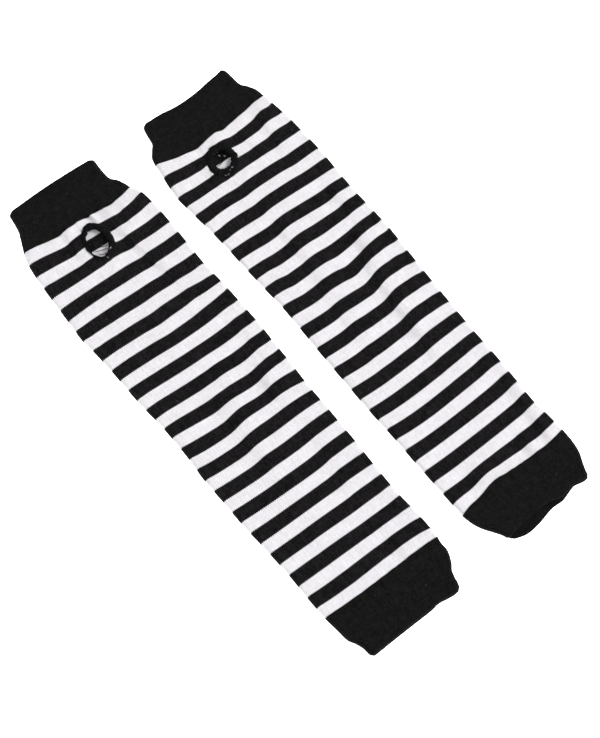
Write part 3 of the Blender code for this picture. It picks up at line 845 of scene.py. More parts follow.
def near_arm_mouth(rows):
    """0 at the arm cuff's seam and before it, growing to 1 at its mouth."""
    return np.clip((rows.course - ARM_SEAM) / (LAST_ROUND - ARM_SEAM), 0, 1) ** 2


def section_points(mitten, rows, wall, offset, shift):
    """Points round each row, at an offset outwards from the wall's middle: (rows, columns, 3).

    X is across, Y is minus the distance along and Z is up.
    """
    turn_left = wall + layer_gap(mitten, rows, -1.0, wall) / 2
    turn_right = wall + layer_gap(mitten, rows, 1.0, wall) / 2
    left_centre = rows.middle - rows.half + turn_left
    right_centre = rows.middle + rows.half - turn_right
    width = right_centre - left_centre
    right_radius, left_radius = turn_right - wall / 2, turn_left - wall / 2
    middle = np.hstack(
        [
            left_centre + (RING.upper + 1) / 2 * width,
            right_centre + right_radius * np.cos(RING.right_fold),
            left_centre + (RING.under + 1) / 2 * width,
            left_centre + left_radius * np.cos(RING.left_fold),
        ]
    )
    out_across = np.concatenate(
        [0 * RING.upper, np.cos(RING.right_fold), 0 * RING.under, np.cos(RING.left_fold)]
    )
    height = np.hstack(
        [
            1.5 * wall + layer_gap(mitten, rows, RING.upper, wall, relief=True) + offset,
            turn_right + (right_radius + offset) * np.sin(RING.right_fold),
            wall / 2 - offset + 0 * rows.along + 0 * RING.under,
            turn_left + (left_radius + offset) * np.sin(RING.left_fold),
        ]
    )
    share = (middle - rows.middle) / rows.half
    along = rows.along + rows.lean * share + rows.bow * share**2 + rows.wave * share**3 + shift
    along = along + IS_UNDER * under_displacement(mitten, rows, share)
    tugged = np.where(IS_UNDER, np.maximum(share**FOLD_PULL_POWER, near_arm_mouth(rows)), 1)
    along = along + tugged * pulled(mitten.pulls, along, middle)
    return np.stack([middle + offset * out_across, -along, height], axis=-1)


def wale_numbers(points):
    """Which column of stitches each point is in, counted round its row, with the row's end added."""
    closed = np.concatenate([points, points[:, :1]], axis=1)[:, :, [0, 2]]
    steps = np.linalg.norm(np.diff(closed, axis=1), axis=-1)
    arc = np.concatenate([np.zeros((len(points), 1)), np.cumsum(steps, axis=1)], axis=1)
    return arc / arc[:, -1:] * settings("knit").wales


def turn_to_world(mitten, vectors):
    """Directions of a mitten's own frame in the shared frame."""
    turn = math.radians(mitten.turn)
    x = math.cos(turn) * vectors[..., 0] - math.sin(turn) * vectors[..., 1]
    y = math.sin(turn) * vectors[..., 0] + math.cos(turn) * vectors[..., 1]
    return np.stack([x, y, vectors[..., 2]], axis=-1)


def to_world(mitten, points):
    """Points of a mitten's own frame, in millimetres, as points of the shared frame in metres."""
    return (turn_to_world(mitten, points) + (*mitten.place, 0.0)) * MM


def upper_height(mitten, across, along):
    """Height of the middle of the tube's upper layer at one place."""
    rows = shape_rows(mitten, course_near(mitten, along))
    share = (across - rows.middle) / rows.half
    return float(1.5 * JERSEY_WALL + layer_gap(mitten, rows, share, JERSEY_WALL, relief=True)[0, 0])


# ---------------------------------------------------------------- cloth


def link_mesh(mesh):
    """A new piece that shows a mesh and has its name."""
    piece = bpy.data.objects.new(mesh.name, mesh)
    bpy.context.scene.collection.objects.link(piece)
    return piece


def smooth_piece(name, points, faces):
    """A smoothly shaded piece from points in the shared frame and rows of point numbers."""
    mesh = bpy.data.meshes.new(name)
    mesh.from_pydata(points.reshape(-1, 3), [], faces)
    mesh.shade_smooth()
    return link_mesh(mesh)


def cloth_piece(mitten, name, points, faces, knit, thickness):
    """A cloth with the knit attribute at its faces' corners, thickened inwards."""
    piece = smooth_piece(f"{mitten.name}_{name}_cloth", to_world(mitten, points), faces.tolist())
    layer = piece.data.attributes.new("knit", "FLOAT2", "CORNER")
    layer.data.foreach_set("vector", knit.astype(np.float32).ravel())
    wall = piece.modifiers.new("wall", "SOLIDIFY")
    wall.thickness = thickness
    wall.offset = -1.0
    wall.use_rim = True
    wall.use_quality_normals = True
    return piece


def ring_faces(row_count, column_count, inside_out=False):
    """Faces between rows of points that close into rings, and the row and column of each corner.

    The last face's columns run on to the full count, so that what is counted round a row does too.
    """
    row, column = np.indices((row_count - 1, column_count)).reshape(2, -1)
    corners = [(row, column), (row + 1, column), (row + 1, column + 1), (row, column + 1)]
    if inside_out:
        corners.reverse()
    faces = np.stack([r * column_count + c % column_count for r, c in corners], axis=1)
    return faces, corners


def corner_knit(corners, wales, rounds):
    """The knit attribute of each face's corners."""
    rounds = np.broadcast_to(rounds, wales.shape)
    return np.stack([np.stack([wales[place], rounds[place]], axis=-1) for place in corners], axis=1)


def open_thumb_hole(mitten, points, faces, knit):
    """Leaves out the faces in the thumb hole and draws the points round it onto its edge.

    The edge lies half way between the two ovals of its ring.
    """
    edge = Oval(*((a + b) / 2 for a, b in zip(mitten.ring_outside, mitten.ring_inside)))
    flat = points.reshape(-1, 3)
    across, along = flat[:, 0], -flat[:, 1]
    is_upper = np.tile(np.arange(points.shape[1]) <= UPPER_STEPS, len(points))
    face_middle = oval_place(edge, across[faces].mean(1), along[faces].mean(1))
    gone = is_upper[faces].all(1) & (np.hypot(*face_middle) < 1.0)
    on_edge = np.intersect1d(faces[gone], faces[~gone])
    distance = np.hypot(*oval_place(edge, across, along))
    centre = np.array([edge.across, -edge.along])
    moved = flat.copy()
    moved[on_edge, :2] = centre + (flat[on_edge, :2] - centre) / distance[on_edge, None]
    # the stitches stay where they were, so the knit attribute follows each moved point
    near = course_near(mitten, edge.along)
    rows = shape_rows(mitten, (near - 0.5, near + 0.5))
    wale_width = 4 * rows.half.mean() / settings("knit").wales
    stripe_length = np.diff(rows.along[:, 0])[0]
    knit = knit + ((moved - flat)[:, :2] / (wale_width, -stripe_length))[faces]
    return moved.reshape(points.shape), faces[~gone], knit[~gone]


def make_tube(mitten):
    """The striped tube: one ply of knit, with its thumb hole cut out."""
    steps = int((ARM_SEAM - HAND_SEAM) * TUBE_STEPS_PER_ROUND)
    rows = shape_rows(mitten, np.linspace(HAND_SEAM, ARM_SEAM, steps + 1))
    points = section_points(mitten, rows, JERSEY_WALL, JERSEY_WALL / 2, 0.0)
    faces, corners = ring_faces(*points.shape[:2])
    knit = corner_knit(corners, wale_numbers(points), rows.course)
    points, faces, knit = open_thumb_hole(mitten, points, faces, knit)
    return cloth_piece(mitten, "tube", points, faces, knit, JERSEY_WALL * MM)


def make_cuff(mitten, name, mouth, seam):
    """A doubled cuff: out along its face, round the lip of its mouth and back along its inner ply."""
    toward_seam = math.copysign(1, seam - mouth)
    steps = int(abs(seam - mouth) * CUFF_STEPS_PER_ROUND)
    lip_start = shape_rows(mitten, mouth).along[0, 0] + toward_seam * (LIP_LENGTH + LIP_MARGIN)
    face = np.linspace(seam, course_near(mitten, lip_start), steps)
    lip = np.full(LIP_STEPS + 1, mouth)
    rows = shape_rows(mitten, np.concatenate([face, lip, face[::-1]]))
    angle = np.concatenate([0 * face, np.linspace(0, math.pi, LIP_STEPS + 1), 0 * face + math.pi])
    at_lip = np.concatenate([0 * face, 0 * lip + 1, 0 * face])
    offset = (WELT_WALL / 2 * np.cos(angle))[:, None]
    shift = (toward_seam * LIP_LENGTH * at_lip * (1 - np.sin(angle)))[:, None]
    points = section_points(mitten, rows, WELT_WALL, offset, shift)
    faces, corners = ring_faces(*points.shape[:2], inside_out=toward_seam > 0)
    wales = wale_numbers(section_points(mitten, rows, WELT_WALL, 0 * offset, shift))
    rounds = mouth + np.concatenate([face - mouth, 0 * lip, mouth - face[::-1]])
    knit = corner_knit(corners, wales, rounds[:, None])
    return cloth_piece(mitten, name, points, faces, knit, settings("knit").ply)


# ---------------------------------------------------------------- nodes


class Wire:
    """What a node gives out; sums, differences and products of wires add Math nodes."""

    def __init__(self, nodes, socket):
        self.nodes, self.socket = nodes, socket

    def __add__(self, other):
        return self.nodes.math("ADD", self, other)

    def __sub__(self, other):
        return self.nodes.math("SUBTRACT", self, other)

    def __rsub__(self, other):
        return self.nodes.math("SUBTRACT", other, self)

    def __mul__(self, other):
        return self.nodes.math("MULTIPLY", self, other)


class Tree:
    """Adds nodes to a tree, and feeds each of their inputs from a wire or sets it to a constant."""

    def __init__(self, tree):
        self.tree = tree

    def feed(self, socket, value):
        if isinstance(value, Wire):
            self.tree.links.new(value.socket, socket)
        else:
            socket.default_value = value

    def add(self, kind, inputs, output=0, **fields):
        node = self.tree.nodes.new(kind)
        for field, value in fields.items():
            setattr(node, field, value)
        for socket, value in inputs.items():
            self.feed(node.inputs[socket], value)
        return None if output is None else Wire(self, node.outputs[output])

    def math(self, operation, *values):
        return self.add("ShaderNodeMath", dict(enumerate(values)), operation=operation)

    def join(self, x=0.0, y=0.0, z=0.0):
        return self.add("ShaderNodeCombineXYZ", {0: x, 1: y, 2: z})

    def split(self, vector):
        node = self.tree.nodes.new("ShaderNodeSeparateXYZ")
        self.feed(node.inputs[0], vector)
        return [Wire(self, socket) for socket in node.outputs]

    def mix_colours(self, share, first, second, blend="MIX"):
        inputs = {0: share, 6: first, 7: second}
        return self.add("ShaderNodeMix", inputs, output=2, data_type="RGBA", blend_type=blend)

    def noise(self, place, scale, detail, **more):
        inputs = {"Vector": place, "Scale": scale, "Detail": detail, **more}
        return self.add("ShaderNodeTexNoise", inputs, output="Fac")

    def grain(self, scale, detail):
        return self.noise(self.add("ShaderNodeTexCoord", {}, output="Object"), scale, detail)

    def attribute(self, name, kind):
        return self.add("GeometryNodeInputNamedAttribute", {0: name}, data_type=kind)

    def random_number(self, least, most, seed):
        inputs = {2: least, 3: most, "Seed": seed}
        return self.add("FunctionNodeRandomValue", inputs, output=1, data_type="FLOAT")

    def random_vector(self, least, most, seed):
        inputs = {0: least, 1: most, "Seed": seed}
        return self.add("FunctionNodeRandomValue", inputs, data_type="FLOAT_VECTOR")


# ---------------------------------------------------------------- looks


class Stitches(NamedTuple):
    """Columns of V-shaped stitches: height, number of the row, and places by stitch and by yarn."""

    height: Wire
    row: Wire
    cell: Wire
    place: Wire


def new_look(name, roughness, specular, sheen=0.0):
    """A material with its constants set, its nodes and its shader."""
    material = bpy.data.materials.new(name)
    material.use_nodes = True
    shader = material.node_tree.nodes["Principled BSDF"]
    shader.inputs["Roughness"].default_value = roughness
    shader.inputs["Specular IOR Level"].default_value = specular
    shader.inputs["Sheen Weight"].default_value = sheen
    shader.inputs["Sheen Roughness"].default_value = SHEEN_ROUGHNESS
    return material, Tree(material.node_tree), shader


def opaque(shade):
    """A colour as a socket takes it."""
    return (*shade, 1.0)


def dye(nodes, shader, shade, tone):
    """Colours a shader, lighter or darker by a tone; on the knit that tone also holds painted shade in
    the gaps between stitches.
    """
    grey = nodes.add("ShaderNodeCombineColor", dict.fromkeys(range(3), tone))
    nodes.feed(shader.inputs["Base Color"], nodes.mix_colours(1.0, shade, grey, "MULTIPLY"))


def raise_surface(nodes, shader, height, distance, strength):
    """Gives a shader's surface a relief."""
    bump = nodes.add("ShaderNodeBump", {"Height": height, "Distance": distance, "Strength": strength})
    nodes.feed(shader.inputs["Normal"], bump)


def knitted(nodes, knit):
    """The stitches of plain knit, from the knit attribute."""
    place = nodes.add("ShaderNodeAttribute", {}, output="Vector", attribute_name="knit")
    wale, stripe, _ = nodes.split(place)
    course = stripe * ((knit.white_rows + knit.black_rows) / 2)
    in_wale = nodes.math("FRACT", wale)
    aside = nodes.math("ABSOLUTE", in_wale - 0.5) * 2.0
    climbed = course + (aside - 0.5) * LEG_CLIMB - FIRST_ROW_AT
    row = nodes.math("FLOOR", climbed)
    in_stitch = nodes.math("FRACT", climbed)
    # a leg is highest at its middle, half way from the column's middle to its edge
    off_leg = aside * 2.0 - 1.0
    leg = nodes.math("POWER", 1.0 - off_leg * off_leg, LEG_ROUNDNESS)
    off_middle = nodes.math("ABSOLUTE", in_stitch * 2.0 - 1.0)
    slimming = nodes.math("POWER", off_middle, LEG_SLIMMING_POWER) * LEG_SLIMMING
    column = nodes.math("FLOOR", wale) + nodes.math("GREATER_THAN", in_wale, 0.5) * 0.5
    return Stitches(
        height=leg * (1.0 - slimming),
        row=row,
        cell=nodes.join(column, row),
        place=nodes.join(wale * FUZZ_PER_WALE, course),
    )


def mottle(nodes, place, kind):
    """A smooth noise about zero."""
    inputs = {0: place, 1: kind.stretch}
    stretched = nodes.add("ShaderNodeVectorMath", inputs, operation="MULTIPLY")
    return (nodes.noise(stretched, kind.scale, kind.detail, Roughness=MOTTLE_ROUGHNESS) - 0.5) * 2.0


def finish_knit(nodes, shader, stitches, shade, gaps, contrast, lint_tone):
    """Adds what both fabrics share: uneven stitches, painted shade in the gaps between them, lint, fuzz
    and relief.
    """
    of_stitch = nodes.add("ShaderNodeTexWhiteNoise", {0: stitches.cell}, noise_dimensions="2D")
    fuzz = mottle(nodes, stitches.place, FUZZ)
    uneven = of_stitch - 0.5 + fuzz
    for streak in STREAKS:
        uneven = uneven + mottle(nodes, stitches.place, streak) * streak.weight
    # Painted shade: the colour is darkened in the low gaps between the stitches, where shade falls, and
    # multiplies the random tone
    limits = {"From Min": 0.0, "From Max": GAP_TOP, "To Min": gaps, "To Max": 1.0}
    painted_gap_shade = nodes.add("ShaderNodeMapRange", {"Value": stitches.height, **limits})
    tone = nodes.math("MAXIMUM", (uneven * contrast + 1.0) * painted_gap_shade, 0.0)
    lint = nodes.math("GREATER_THAN", of_stitch, 1 - LINT_SHARE) * lint_tone
    dye(nodes, shader, shade, tone + lint)
    surface = stitches.height + of_stitch * UNEVEN_HEIGHT + fuzz * FUZZ_HEIGHT
    raise_surface(nodes, shader, surface, settings("knit").stitch_relief, 1.0)


def striped_knit(name):
    """Plain knit in stripes of two yarns, which meet in the zigzag of the stitches."""
    knit, colours = settings("knit"), settings("colours")
    material, nodes, shader = new_look(name, KNIT_ROUGHNESS, KNIT_SPECULAR, KNIT_SHEEN)
    stitches = knitted(nodes, knit)
    row_of_pair = nodes.math("FLOORED_MODULO", stitches.row, float(knit.white_rows + knit.black_rows))
    is_black = nodes.math("GREATER_THAN", row_of_pair, knit.white_rows - 0.5)
    shade = nodes.mix_colours(is_black, opaque(colours.white), opaque(colours.black))
    # Painted shade in the gaps between stitches, deeper on the black rows, and the unevenness of the
    # tone
    gaps = is_black * (BLACK_SHADE_AND_TONE.gaps - WHITE_SHADE_AND_TONE.gaps) + WHITE_SHADE_AND_TONE.gaps
    contrast = is_black * (BLACK_SHADE_AND_TONE.contrast - WHITE_SHADE_AND_TONE.contrast) + WHITE_SHADE_AND_TONE.contrast
    finish_knit(nodes, shader, stitches, shade, gaps, contrast, is_black * LINT_TONE)
    return material


def black_knit(name):
    """Plain knit of the cuffs."""
    material, nodes, shader = new_look(name, KNIT_ROUGHNESS, KNIT_SPECULAR, KNIT_SHEEN)
    stitches = knitted(nodes, settings("knit"))
    # The cuffs get the same painted shade in the gaps between their stitches
    finish_knit(nodes, shader, stitches, opaque(settings("colours").cuff), *CUFF_SHADE_AND_TONE, LINT_TONE)
    return material


def spun(name, shade, roughness, specular):
    """Thread or yarn with the fine twist of its plies."""
    material, nodes, shader = new_look(name, roughness, specular)
    fibres = nodes.grain(FIBRE_SCALE, FIBRE_DETAIL)
    tone = fibres * FIBRE_WEIGHT + nodes.grain(STRAND_SCALE, STRAND_DETAIL) * STRAND_WEIGHT - SPUN_OFFSET
    dye(nodes, shader, opaque(shade), nodes.math("MAXIMUM", tone, SPUN_LEAST))
    raise_surface(nodes, shader, fibres, SPUN_RELIEF * MM, SPUN_STRENGTH)
    return material


def black_thread(name):
    """Black sewing thread."""
    return spun(name, settings("colours").thread, roughness=0.7, specular=0.06)


def white_yarn(name):
    """The stripes' white yarn where it is cut, coloured grey as painted shade for the shadow among the
    black overcast stitches.
    """
    return spun(name, settings("colours").yarn_end, roughness=0.9, specular=0.05)


def floor(name):
    """A plain white ground with the faintest unevenness."""
    material, nodes, shader = new_look(name, roughness=0.95, specular=0.1)
    grain = nodes.grain(FLOOR_GRAIN_SCALE, FLOOR_GRAIN_DETAIL)
    dye(nodes, shader, opaque(WHITE), grain * FLOOR_UNEVENNESS + FLOOR_TONE)
    shader.inputs["Emission Color"].default_value = opaque(WHITE)
    shader.inputs["Emission Strength"].default_value = FLOOR_GLOW
    return material


def look(make):
    """The finish that a function makes, made the first time that it is asked for."""
    name = f"{make.__name__}_look"
    return bpy.data.materials.get(name) or make(name)


# ---------------------------------------------------------------- sewing


def new_sewing_tree(name, sizes):
    """A geometry tree for stitches along a line, with these named sizes, and its inputs by name."""
    tree = bpy.data.node_groups.new(name, "GeometryNodeTree")
    tree.is_modifier = True
    kinds = {"Geometry": "Geometry", "Stitches": "Int", **dict.fromkeys(sizes, "Float")}
    kinds["Thread"] = "Material"
    for label, kind in kinds.items():
        tree.interface.new_socket(label, in_out="INPUT", socket_type=f"NodeSocket{kind}")
    tree.interface.new_socket("Geometry", in_out="OUTPUT", socket_type="NodeSocketGeometry")
    nodes = Tree(tree)
    start = tree.nodes.new("NodeGroupInput")
    return nodes, {label: Wire(nodes, start.outputs[label]) for label in kinds}


def lay_stitches(nodes, given, stitch, turn, size, capped):
    """Ends a sewing tree: repeats a stitch along the line, makes it thread and gives it its look."""
    line = nodes.add("GeometryNodeMeshToCurve", {0: given["Geometry"]})
    places = nodes.add("GeometryNodeResampleCurve", {"Curve": line, "Count": given["Stitches"]})
    laid = nodes.add(
        "GeometryNodeInstanceOnPoints",
        {"Points": places, "Instance": stitch, "Rotation": turn, "Scale": size},
    )
    real = nodes.add("GeometryNodeRealizeInstances", {0: laid})
    section = nodes.add(
        "GeometryNodeCurvePrimitiveCircle",
        {"Resolution": THREAD_SIDES, "Radius": given["Thread radius"]},
    )
    tubes = nodes.add(
        "GeometryNodeCurveToMesh", {"Curve": real, "Profile Curve": section, "Fill Caps": capped}
    )
    smooth = nodes.add("GeometryNodeSetShadeSmooth", {"Geometry": tubes})
    dyed = nodes.add("GeometryNodeSetMaterial", {"Geometry": smooth, "Material": given["Thread"]})
    nodes.add("NodeGroupOutput", {0: dyed}, output=None)
    return nodes.tree


def overcast_tree(name):
    """Loops of thread round an edge that is given as a line with outward, reach and height."""
    nodes, given = new_sewing_tree(name, ("Thread radius", "Slant", "Unevenness"))
    slant, uneven = given["Slant"], given["Unevenness"]
    upright = nodes.add(
        "FunctionNodeAxesToRotation",
        {0: nodes.attribute("outward", "FLOAT_VECTOR"), 1: (0.0, 0.0, 1.0)},
        primary_axis="X",
        secondary_axis="Y",
    )
    leaning = nodes.random_number(slant - uneven, slant + uneven, SLANT_SEED)
    lean = nodes.add("FunctionNodeAxisAngleToRotation", {0: (0.0, 1.0, 0.0), 1: leaning})
    turn = nodes.add("FunctionNodeRotateRotation", {0: upright, 1: lean}, rotation_space="LOCAL")
    longer = nodes.random_number(LOOP_SHORTEST, LOOP_LONGEST, LOOP_SEED)
    wide = nodes.attribute("reach", "FLOAT") * longer + given["Thread radius"]
    size = nodes.join(wide, nodes.attribute("height", "FLOAT"), 1.0)
    loop = nodes.add("GeometryNodeCurvePrimitiveCircle", {"Resolution": LOOP_STEPS, "Radius": 1.0})
    return lay_stitches(nodes, given, loop, turn, size, capped=False)


def joining_tree(name):
    """Short arches of thread across a seam that is given as a line with forward and normal."""
    nodes, given = new_sewing_tree(name, ("Thread radius", "Bite", "Rise"))
    across = nodes.add(
        "FunctionNodeAxesToRotation",
        {0: nodes.attribute("normal", "FLOAT_VECTOR"), 1: nodes.attribute("forward", "FLOAT_VECTOR")},
        primary_axis="Z",
        secondary_axis="X",
    )
    half_bite = given["Bite"] * 0.5
    ends = {"Start": nodes.join(x=half_bite * -1.0), "End": nodes.join(x=half_bite)}
    # the arch rises half as high as its middle handle
    handle = nodes.join(z=given["Rise"] * 2.0)
    arch = nodes.add(
        "GeometryNodeCurveQuadraticBezier", {"Resolution": JOIN_STEPS, "Middle": handle, **ends}
    )
    size = nodes.random_vector(JOIN_LEAST, JOIN_MOST, JOIN_SEED)
    return lay_stitches(nodes, given, arch, across, size, capped=True)


def sewn_piece(name, line, closed, attributes, make_tree, sizes):
    """Runs a sewing tree on a line of points with attributes, and keeps its result as a mesh."""
    base = bpy.data.meshes.new("line")
    following = [(i, (i + 1) % len(line)) for i in range(len(line) if closed else len(line) - 1)]
    base.from_pydata(line.tolist(), following, [])
    for attribute, values in attributes.items():
        kind, field = ("FLOAT_VECTOR", "vector") if values.ndim == 2 else ("FLOAT", "value")
        layer = base.attributes.new(attribute, kind, "POINT")
        layer.data.foreach_set(field, values.astype(np.float32).ravel())
    guide = link_mesh(base)
    modifier = guide.modifiers.new("sewing", "NODES")
    modifier.node_group = bpy.data.node_groups.get(make_tree.__name__) or make_tree(make_tree.__name__)
    sizes = {**sizes, "Thread": look(black_thread)}
    for item in modifier.node_group.interface.items_tree:
        if item.in_out == "INPUT" and item.name in sizes:
            modifier[item.identifier] = sizes[item.name]
    graph = bpy.context.evaluated_depsgraph_get()
    mesh = bpy.data.meshes.new_from_object(guide.evaluated_get(graph), depsgraph=graph)
    mesh.name = name
    bpy.data.objects.remove(guide)
    bpy.data.meshes.remove(base)
    if not len(mesh.polygons):
        raise RuntimeError(f"{name}: its geometry tree made no faces")
    return link_mesh(mesh)


def make_joining_stitches(mitten, name, seam):
    """Thread that links a cuff to the tube, over the upper layer and the folds."""
    sewing = settings("sewing")
    rows = shape_rows(mitten, seam)
    points = section_points(mitten, rows, JERSEY_WALL, JERSEY_WALL / 2, 0.0)[0]
    half_fold = FOLD_STEPS // 2
    line = np.concatenate([points[-half_fold:], points[: UPPER_STEPS + half_fold]])
    forward = np.tile([0.0, 1.0 if seam == ARM_SEAM else -1.0, 0.0], (len(line), 1))
    normal = np.cross(np.gradient(line, axis=0), [0.0, -1.0, 0.0])
    normal /= np.linalg.norm(normal, axis=1, keepdims=True)
    attributes = {"forward": turn_to_world(mitten, forward), "normal": turn_to_world(mitten, normal)}
    sizes = {
        "Stitches": int(settings("knit").wales * JOINS_PER_WALE),
        "Thread radius": sewing.seam_thread_radius,
        "Bite": sewing.seam_bite,
        "Rise": JOIN_RISE * MM,
    }
    title = f"{mitten.name}_{name}_joining"
    return sewn_piece(title, to_world(mitten, line), False, attributes, joining_tree, sizes)


def circle_noise(fineness, seed):
    """A smooth noise at a ring's points that closes on itself."""
    angles = 2 * math.pi * np.arange(RING_POINTS) / RING_POINTS
    places = [(fineness * math.cos(angle), fineness * math.sin(angle), seed) for angle in angles]
    return np.array([noise.noise(Vector(place)) for place in places])[:, None]


def ring_line(mitten):
    """The middle line of the thumb hole's edge, the way out from the hole, and half its width."""
    outside, inside = oval_points(mitten.ring_outside), oval_points(mitten.ring_inside)
    seed = len(mitten.name)
    away = (outside - inside) / np.linalg.norm(outside - inside, axis=1, keepdims=True)
    outside = outside + EDGE_LUMPS * away * circle_noise(OUTSIDE_FINENESS, seed)
    inside = inside + EDGE_LUMPS * away * circle_noise(INSIDE_FINENESS, seed + INSIDE_SEED)
    flat = (outside + inside) / 2
    heights = [upper_height(mitten, x, -y) + RING_CLEARANCE / 2 for x, y in flat]
    across = outside - inside
    reach = np.linalg.norm(across, axis=1) / 2
    outward = np.column_stack([across / (2 * reach[:, None]), np.zeros(RING_POINTS)])
    return np.column_stack([flat, heights]), outward, reach


def make_rolled_edge(mitten):
    """The bunched, rolled edge of the cloth under the overcast stitches."""
    middle, outward, reach = ring_line(mitten)
    around = 2 * math.pi * np.arange(RING_SIDES) / RING_SIDES
    fat = 1 + EDGE_ROUGHNESS * circle_noise(ROUGH_FINENESS, ROUGH_SEED)
    sideways = (reach[:, None] - EDGE_INSET) * fat * np.cos(around)
    upward = (RING_HEIGHT / 2 - EDGE_SUNK) * fat * np.sin(around)
    points = middle[:, None] + outward[:, None] * sideways[..., None]
    points = points + np.array([0, 0, 1.0]) * upward[..., None]
    faces, _ = ring_faces(RING_POINTS + 1, RING_SIDES)
    faces = faces % (RING_POINTS * RING_SIDES)
    return smooth_piece(f"{mitten.name}_rolled_edge", to_world(mitten, points), faces.tolist())


def make_overcasting(mitten):
    """The loops of black thread over the thumb hole's edge."""
    sewing = settings("sewing")
    middle, outward, reach = ring_line(mitten)
    height = RING_HEIGHT / 2 * MM - sewing.thread_radius / 2
    attributes = {
        "outward": turn_to_world(mitten, outward),
        "reach": reach * MM - sewing.thread_radius,
        "height": np.full(RING_POINTS, height),
    }
    sizes = {
        "Stitches": sewing.overcast_stitches,
        "Thread radius": sewing.thread_radius,
        "Slant": SLANT,
        "Unevenness": SLANT_SPREAD,
    }
    title = f"{mitten.name}_overcast_stitches"
    return sewn_piece(title, to_world(mitten, middle), True, attributes, overcast_tree, sizes)


def make_strands(mitten, name, lines, radius):
    """One mesh of round strands along lines of points, each drawn to a blunt tip at both ends."""
    points, faces = [], []
    angles = 2 * math.pi * np.arange(STRAND_SIDES)[:, None] / STRAND_SIDES
    for line in lines:
        line = to_world(mitten, line)
        tangent = np.gradient(line, axis=0)
        tangent /= np.linalg.norm(tangent, axis=1, keepdims=True)
        aside = np.cross(tangent, NO_STRANDS_WAY)
        aside /= np.linalg.norm(aside, axis=1, keepdims=True)
        upward = np.cross(aside, tangent)
        from_tip = np.minimum(np.arange(len(line)), np.arange(len(line))[::-1]) / len(line)
        taper = np.minimum(1.0, TIP_SHARE + TIP_GROWTH * from_tip)
        out = np.cos(angles) * aside[:, None] + np.sin(angles) * upward[:, None]
        first = STRAND_SIDES * sum(len(done) for done in points)
        points.append(line[:, None] + (radius * taper)[:, None, None] * out)
        sides, _ = ring_faces(len(line), STRAND_SIDES, inside_out=True)
        faces += (first + sides).tolist()
        start_cap = first + np.arange(STRAND_SIDES)
        end_cap = start_cap + (len(line) - 1) * STRAND_SIDES
        faces += [start_cap[::-1].tolist(), end_cap.tolist()]
    return smooth_piece(f"{mitten.name}_{name}", np.concatenate(points), faces)


def make_yarn_ends(mitten):
    """Cut ends of the white yarn that poke out between the overcast stitches."""
    lines = []
    run = np.linspace(-0.5, 0.5, YARN_STEPS)
    for end in mitten.yarn_ends:
        bearing = math.radians(end.bearing)
        across = end.across + end.length * run * math.cos(bearing)
        along = end.along + end.length * run * math.sin(bearing)
        height = end.height - YARN_ARCH * (2 * run) ** 2 + YARN_SLOPE * run
        lines.append(np.column_stack([across, -along, height]))
    return make_strands(mitten, "yarn_ends", lines, YARN_RADIUS * MM)


def make_loose_threads(mitten):
    """Thin black threads that the overcasting left across the hole, lying on the under layer."""
    lines = []
    run = np.linspace(0.0, 1.0, THREAD_STEPS)
    arch = 4 * run * (1 - run)
    for thread in mitten.loose_threads:
        across = thread.across_from + (thread.across_to - thread.across_from) * run
        along = thread.along_from + (thread.along_to - thread.along_from) * run + thread.bend * arch
        height = THREAD_END_HEIGHT - (THREAD_END_HEIGHT - THREAD_LOW) * arch
        lines.append(np.column_stack([across, -along, height]))
    return make_strands(mitten, "loose_threads", lines, settings("sewing").thread_radius * LOOSE_SHARE)


# ---------------------------------------------------------------- operators


def hand_over(piece, finish=None, node=None):
    """Gives a piece its look and its body, and hides the solid of the node that it stands in for."""
    if finish:
        piece.data.materials.append(look(finish))
    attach(piece, "root")
    if node:
        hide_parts(node)


def flat_size(rows, plies):
    """The way all round and the length of a tube between its first and last row, in metres."""
    along = rows.along[:, 0]
    return 4 * float(rows.half.mean()) * MM, plies * abs(float(along[-1] - along[0])) * MM


class MITTENS_OT_tubes(bpy.types.Operator):
    """Knit the striped tubes"""

    bl_idname = "mittens.tubes"
    bl_label = "Striped tubes"

    def execute(self, context):
        for mitten in MITTENS:
            tube = make_tube(mitten)
            hand_over(tube, striped_knit, f"{mitten.name}_striped_tube")
            rows = shape_rows(mitten, np.arange(HAND_SEAM, ARM_SEAM + 1))
            flat_size(rows, plies=1)
        return {"FINISHED"}


class MITTENS_OT_cuffs(bpy.types.Operator):
    """Knit the doubled cuffs and sew them to the tubes"""

    bl_idname = "mittens.cuffs"
    bl_label = "Cuffs"

    def execute(self, context):
        ends = (("hand_cuff", FIRST_ROUND, HAND_SEAM), ("arm_cuff", LAST_ROUND, ARM_SEAM))
        for mitten in MITTENS:
            for name, mouth, seam in ends:
                cuff = make_cuff(mitten, name, mouth, seam)
                hand_over(cuff, black_knit, f"{mitten.name}_{name}")
                joining = make_joining_stitches(mitten, name, seam)
                hand_over(joining)
                flat = flat_size(shape_rows(mitten, (mouth, seam)), plies=2)
        return {"FINISHED"}


class MITTENS_OT_thumb_holes(bpy.types.Operator):
    """Roll and overcast the edges of the thumb holes"""

    bl_idname = "mittens.thumb_holes"
    bl_label = "Thumb holes"

    def execute(self, context):
        for mitten in MITTENS:
            node = f"{mitten.name}_thumb_ring"
            hand_over(make_rolled_edge(mitten), black_thread, node)
            hand_over(make_loose_threads(mitten), black_thread)
            hand_over(make_yarn_ends(mitten), white_yarn)
            hand_over(make_overcasting(mitten))
        return {"FINISHED"}


